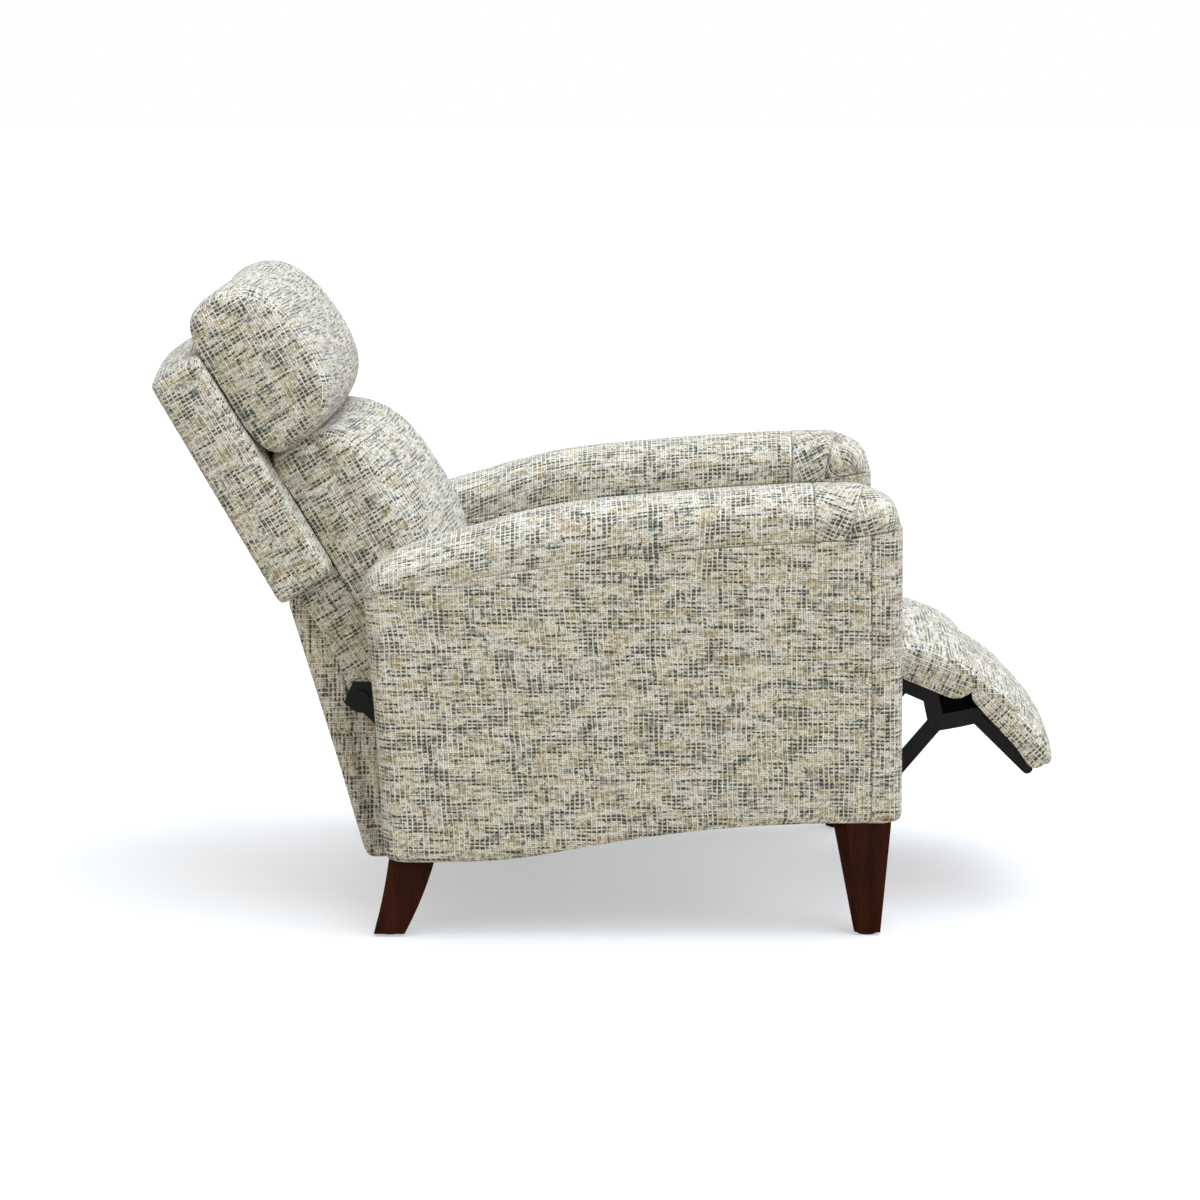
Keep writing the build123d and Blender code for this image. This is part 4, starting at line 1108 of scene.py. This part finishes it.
def arm_roll(side):
    """Padded top of the arm: arches from seam to seam, fanned round both ends, with gathers at the front."""
    sign = -1 if side == "right" else 1
    length = lengths(CREST)
    total = length[-1]
    cross_at = float(np.interp(CROSS_X, CREST[:, 0], length))
    at = np.concatenate([
        np.linspace(0, REAR_FAN, REAR_ROWS),
        np.linspace(REAR_FAN, cross_at - CROSS_GAP, TOP_ROWS)[1:],
        [cross_at],
        np.linspace(cross_at + CROSS_GAP, total, FRONT_ROWS),
    ])
    crest = np.stack([np.interp(at, length, CREST[:, k]) for k in range(2)], axis=1)

    # Foot of each arch on the seam: fanned round both ends, and straight under the crest between them
    base_x = np.interp(at, [0, 60, 110, cross_at + 60, total - 60, total],
                       [-318, -296, -255, CROSS_X + 56, 386, 404])
    base_x[REAR_ROWS:-FRONT_ROWS] = crest[REAR_ROWS:-FRONT_ROWS, 0]
    base_x = np.maximum.accumulate(base_x)
    base = np.stack([base_x, np.interp(base_x, SEAM[:, 0], SEAM[:, 1])], axis=1)
    turn = np.concatenate([[0.0, 0.016], np.linspace(0.07, math.pi - 0.07, 45), [math.pi - 0.016, math.pi]])
    up = np.abs(np.sin(turn)) ** ROLL_RISE
    lip = ROLL_LIP * np.sin(np.minimum(up, 1) * math.pi)
    out = np.copysign(np.abs(np.cos(turn)) ** ROLL_BREADTH, np.cos(turn)) * (HALF_W + lip)
    form = Form()
    table = []
    arcs = []
    rows = []
    for k in range(len(at)):
        arch = base[k] + (crest[k] - base[k]) * up[:, None]
        row = np.column_stack([arch, out])
        front = np.interp(row[:, 1], FRONT_EDGE[:, 1], FRONT_EDGE[:, 0])
        rear = np.interp(row[:, 1], REAR_EDGE[:, 1], REAR_EDGE[:, 0])
        close = np.clip(ARM_CORNER - np.minimum(front - row[:, 0], row[:, 0] - rear), 0, ARM_CORNER - 1)
        row[:, 2] *= 1 - (ARM_CORNER - np.sqrt(ARM_CORNER ** 2 - close ** 2)) / HALF_W
        push = pleats(row[:, :2]) * ramp01(np.abs(row[:, 2]), *GATHER_ZONE)
        fan = row[:, :2] - FAN_CENTRE
        fan = fan / np.maximum(np.linalg.norm(fan, axis=1, keepdims=True), 1)
        row[:, :2] += fan * push[:, None] * GATHER_UP
        row[:, 2] += np.sign(row[:, 2]) * push * GATHER_OUT
        if abs(at[k] - cross_at) < 0.1:
            row[:, 1] -= CROSS_TUCK * np.sin(turn)
            row[:, 2] -= np.sign(row[:, 2]) * CROSS_TUCK * np.abs(np.cos(turn))
        table.append(form.add(world(row[:, :2], sign * (ARM_MID + row[:, 2]))))
        arcs.append(lengths(row))
        rows.append(row)
    m = len(turn)
    # The fold's crease, a little ahead of the ridge, goes into the seam coordinates and is darkened there as
    # painted shade.
    fold = [np.abs(to_line(row[:, :2], RIDGE) - FOLD_SHADE_LINE) for row in rows]
    for k in range(len(at) - 1):
        in_front = at[k] >= cross_at - 0.1
        for i in range(m - 1):
            weave = []
            seam = []
            middle = (rows[k][i:i + 2, :2].sum(axis=0) + rows[k + 1][i:i + 2, :2].sum(axis=0)) / 4
            tilt = TILTS[1] if to_line(middle[None], RIDGE)[0] > FOLD_WEAVE else TILTS[0]
            for kk, ii in ((k, i), (k, i + 1), (k + 1, i + 1), (k + 1, i)):
                s = at[kk] / 1000
                t = arcs[kk][ii] / 1000
                # Seam coordinates: distance to the roll's edge seams, its cross seam and the fold, all
                # darkened as painted shade.
                gap = min(arcs[kk][ii], arcs[kk][-1] - arcs[kk][ii], abs(at[kk] - cross_at))
                if in_front:
                    turned = s * math.cos(tilt) - t * math.sin(tilt) + TILT_SHIFT[0]
                    t = s * math.sin(tilt) + t * math.cos(tilt) + TILT_SHIFT[1]
                    s = turned
                    gap = min(gap, fold[kk][ii])
                weave.append((s, t + ROLL_SHIFT))
                seam.append((gap / 1000, 1.0))
            form.face((table[k] + i, table[k] + i + 1, table[k + 1] + i + 1, table[k + 1] + i), weave, seam)

    # Flat underside, hidden on the arm
    path = []
    for k in range(len(at)):
        a = rows[k][0]
        b = rows[k][-1]
        hidden = [a + (b - a) * t for t in HIDDEN_ROWS]
        first = form.add([world(q[:2], sign * (ARM_MID + q[2])) for q in hidden])
        path.append([table[k]] + [first + t for t in range(len(HIDDEN_ROWS))] + [table[k] + m - 1])
    for one, two in zip(path[:-1], path[1:]):
        for t in range(len(one) - 1):
            form.face((one[t], two[t], two[t + 1], one[t + 1]), [(0, 0), (0.01, 0), (0.01, 0.01), (0, 0.01)])
    return form.build(side + "_arm_roll", [tweed])


for side in ("right", "left"):
    settle(arm_body(side), "base", 0.95, side + "_arm_cover")
    settle(arm_roll(side), "base", 0.9, side + "_arm_pad")

# Legs: softened edges
for name in ("rear_right_leg", "rear_left_leg", "front_right_leg", "front_left_leg"):
    ease = nodes[name].modifiers.new("edge", "BEVEL")
    ease.width = 0.0022
    ease.segments = 3
    ease.limit_method = "ANGLE"
    ease.angle_limit = math.radians(40)


def make_floor():
    """White floor that takes a soft shadow, and sends a warm bounce up to the chair."""
    p = Paint("floor")
    p.surface({"Base Color": (0.50, 0.45, 0.38, 1.0), "Roughness": 0.9, "Specular IOR Level": 0.0})
    pale = p.node("ShaderNodeBsdfDiffuse")
    pale.inputs["Color"].default_value = (0.92, 0.92, 0.92, 1.0)
    white = p.node("ShaderNodeEmission")
    white.inputs["Color"].default_value = (1.0, 1.0, 1.0, 1.0)
    white.inputs["Strength"].default_value = 1.0
    shown = p.node("ShaderNodeMixShader")
    shown.inputs[0].default_value = 0.48
    p.link(pale.outputs[0], shown.inputs[1])
    p.link(white.outputs[0], shown.inputs[2])
    ray = p.node("ShaderNodeLightPath")
    either = p.node("ShaderNodeMixShader")
    p.link(ray.outputs["Is Camera Ray"], either.inputs[0])
    p.link(p.bsdf.outputs[0], either.inputs[1])
    p.link(shown.outputs[0], either.inputs[2])
    p.link(either.outputs[0], p.out.inputs[0])
    bpy.ops.mesh.primitive_plane_add(size=60, location=(0, 0, -0.0002))
    floor = bpy.context.object
    floor.name = "floor"
    floor.data.materials.append(p.mat)


def make_sky():
    """White to the camera and in reflections, and a dim dome of light for the rest."""
    sky = bpy.data.worlds.new("studio")
    scene.world = sky
    sky.use_nodes = True
    tree = sky.node_tree
    tree.nodes.clear()
    seen = tree.nodes.new("ShaderNodeBackground")
    seen.inputs["Color"].default_value = (1, 1, 1, 1)
    seen.inputs["Strength"].default_value = 1.0
    dome = tree.nodes.new("ShaderNodeBackground")
    dome.inputs["Color"].default_value = (0.97, 1.0, 1.04, 1)
    dome.inputs["Strength"].default_value = 0.32
    path = tree.nodes.new("ShaderNodeLightPath")
    direct = tree.nodes.new("ShaderNodeMath")
    direct.operation = "MAXIMUM"
    tree.links.new(path.outputs["Is Camera Ray"], direct.inputs[0])
    tree.links.new(path.outputs["Is Glossy Ray"], direct.inputs[1])
    either = tree.nodes.new("ShaderNodeMixShader")
    tree.links.new(direct.outputs[0], either.inputs[0])
    tree.links.new(dome.outputs[0], either.inputs[1])
    tree.links.new(seen.outputs[0], either.inputs[2])
    out = tree.nodes.new("ShaderNodeOutputWorld")
    tree.links.new(either.outputs[0], out.inputs[0])


def lamp(name, toward, strength, spread, colour):
    """Even light from one side of the room; toward points at the lamp."""
    data = bpy.data.lights.new(name, "SUN")
    data.energy = strength
    data.angle = math.radians(spread)
    data.color = colour
    obj = bpy.data.objects.new(name, data)
    obj.rotation_euler = Vector(toward).to_track_quat("Z", "Y").to_euler()
    scene.collection.objects.link(obj)


# Floor, light and camera
make_floor()
make_sky()
lamp("key", (0.46, -0.24, 0.855), 2.3, 60, (0.93, 1.0, 1.13))
lamp("top", (-0.05, 0.14, 1.0), 1.65, 60, (0.91, 1.0, 1.15))
lamp("fill", (-0.20, -0.75, 0.63), 0.74, 80, (1.0, 0.97, 0.80))

CAMERA_AT = (-0.0071, -5.4977, 1.3156)
LOOK_DOWN = 0.16201
eye = bpy.data.cameras.new("camera")
eye.sensor_fit = "HORIZONTAL"
eye.sensor_width = 36
eye.lens = 113.38
cam = bpy.data.objects.new("camera", eye)
cam.location = CAMERA_AT
cam.rotation_euler = (math.pi / 2 - LOOK_DOWN, 0, 0)
scene.collection.objects.link(cam)
scene.camera = cam
scene.view_settings.view_transform = "Standard"
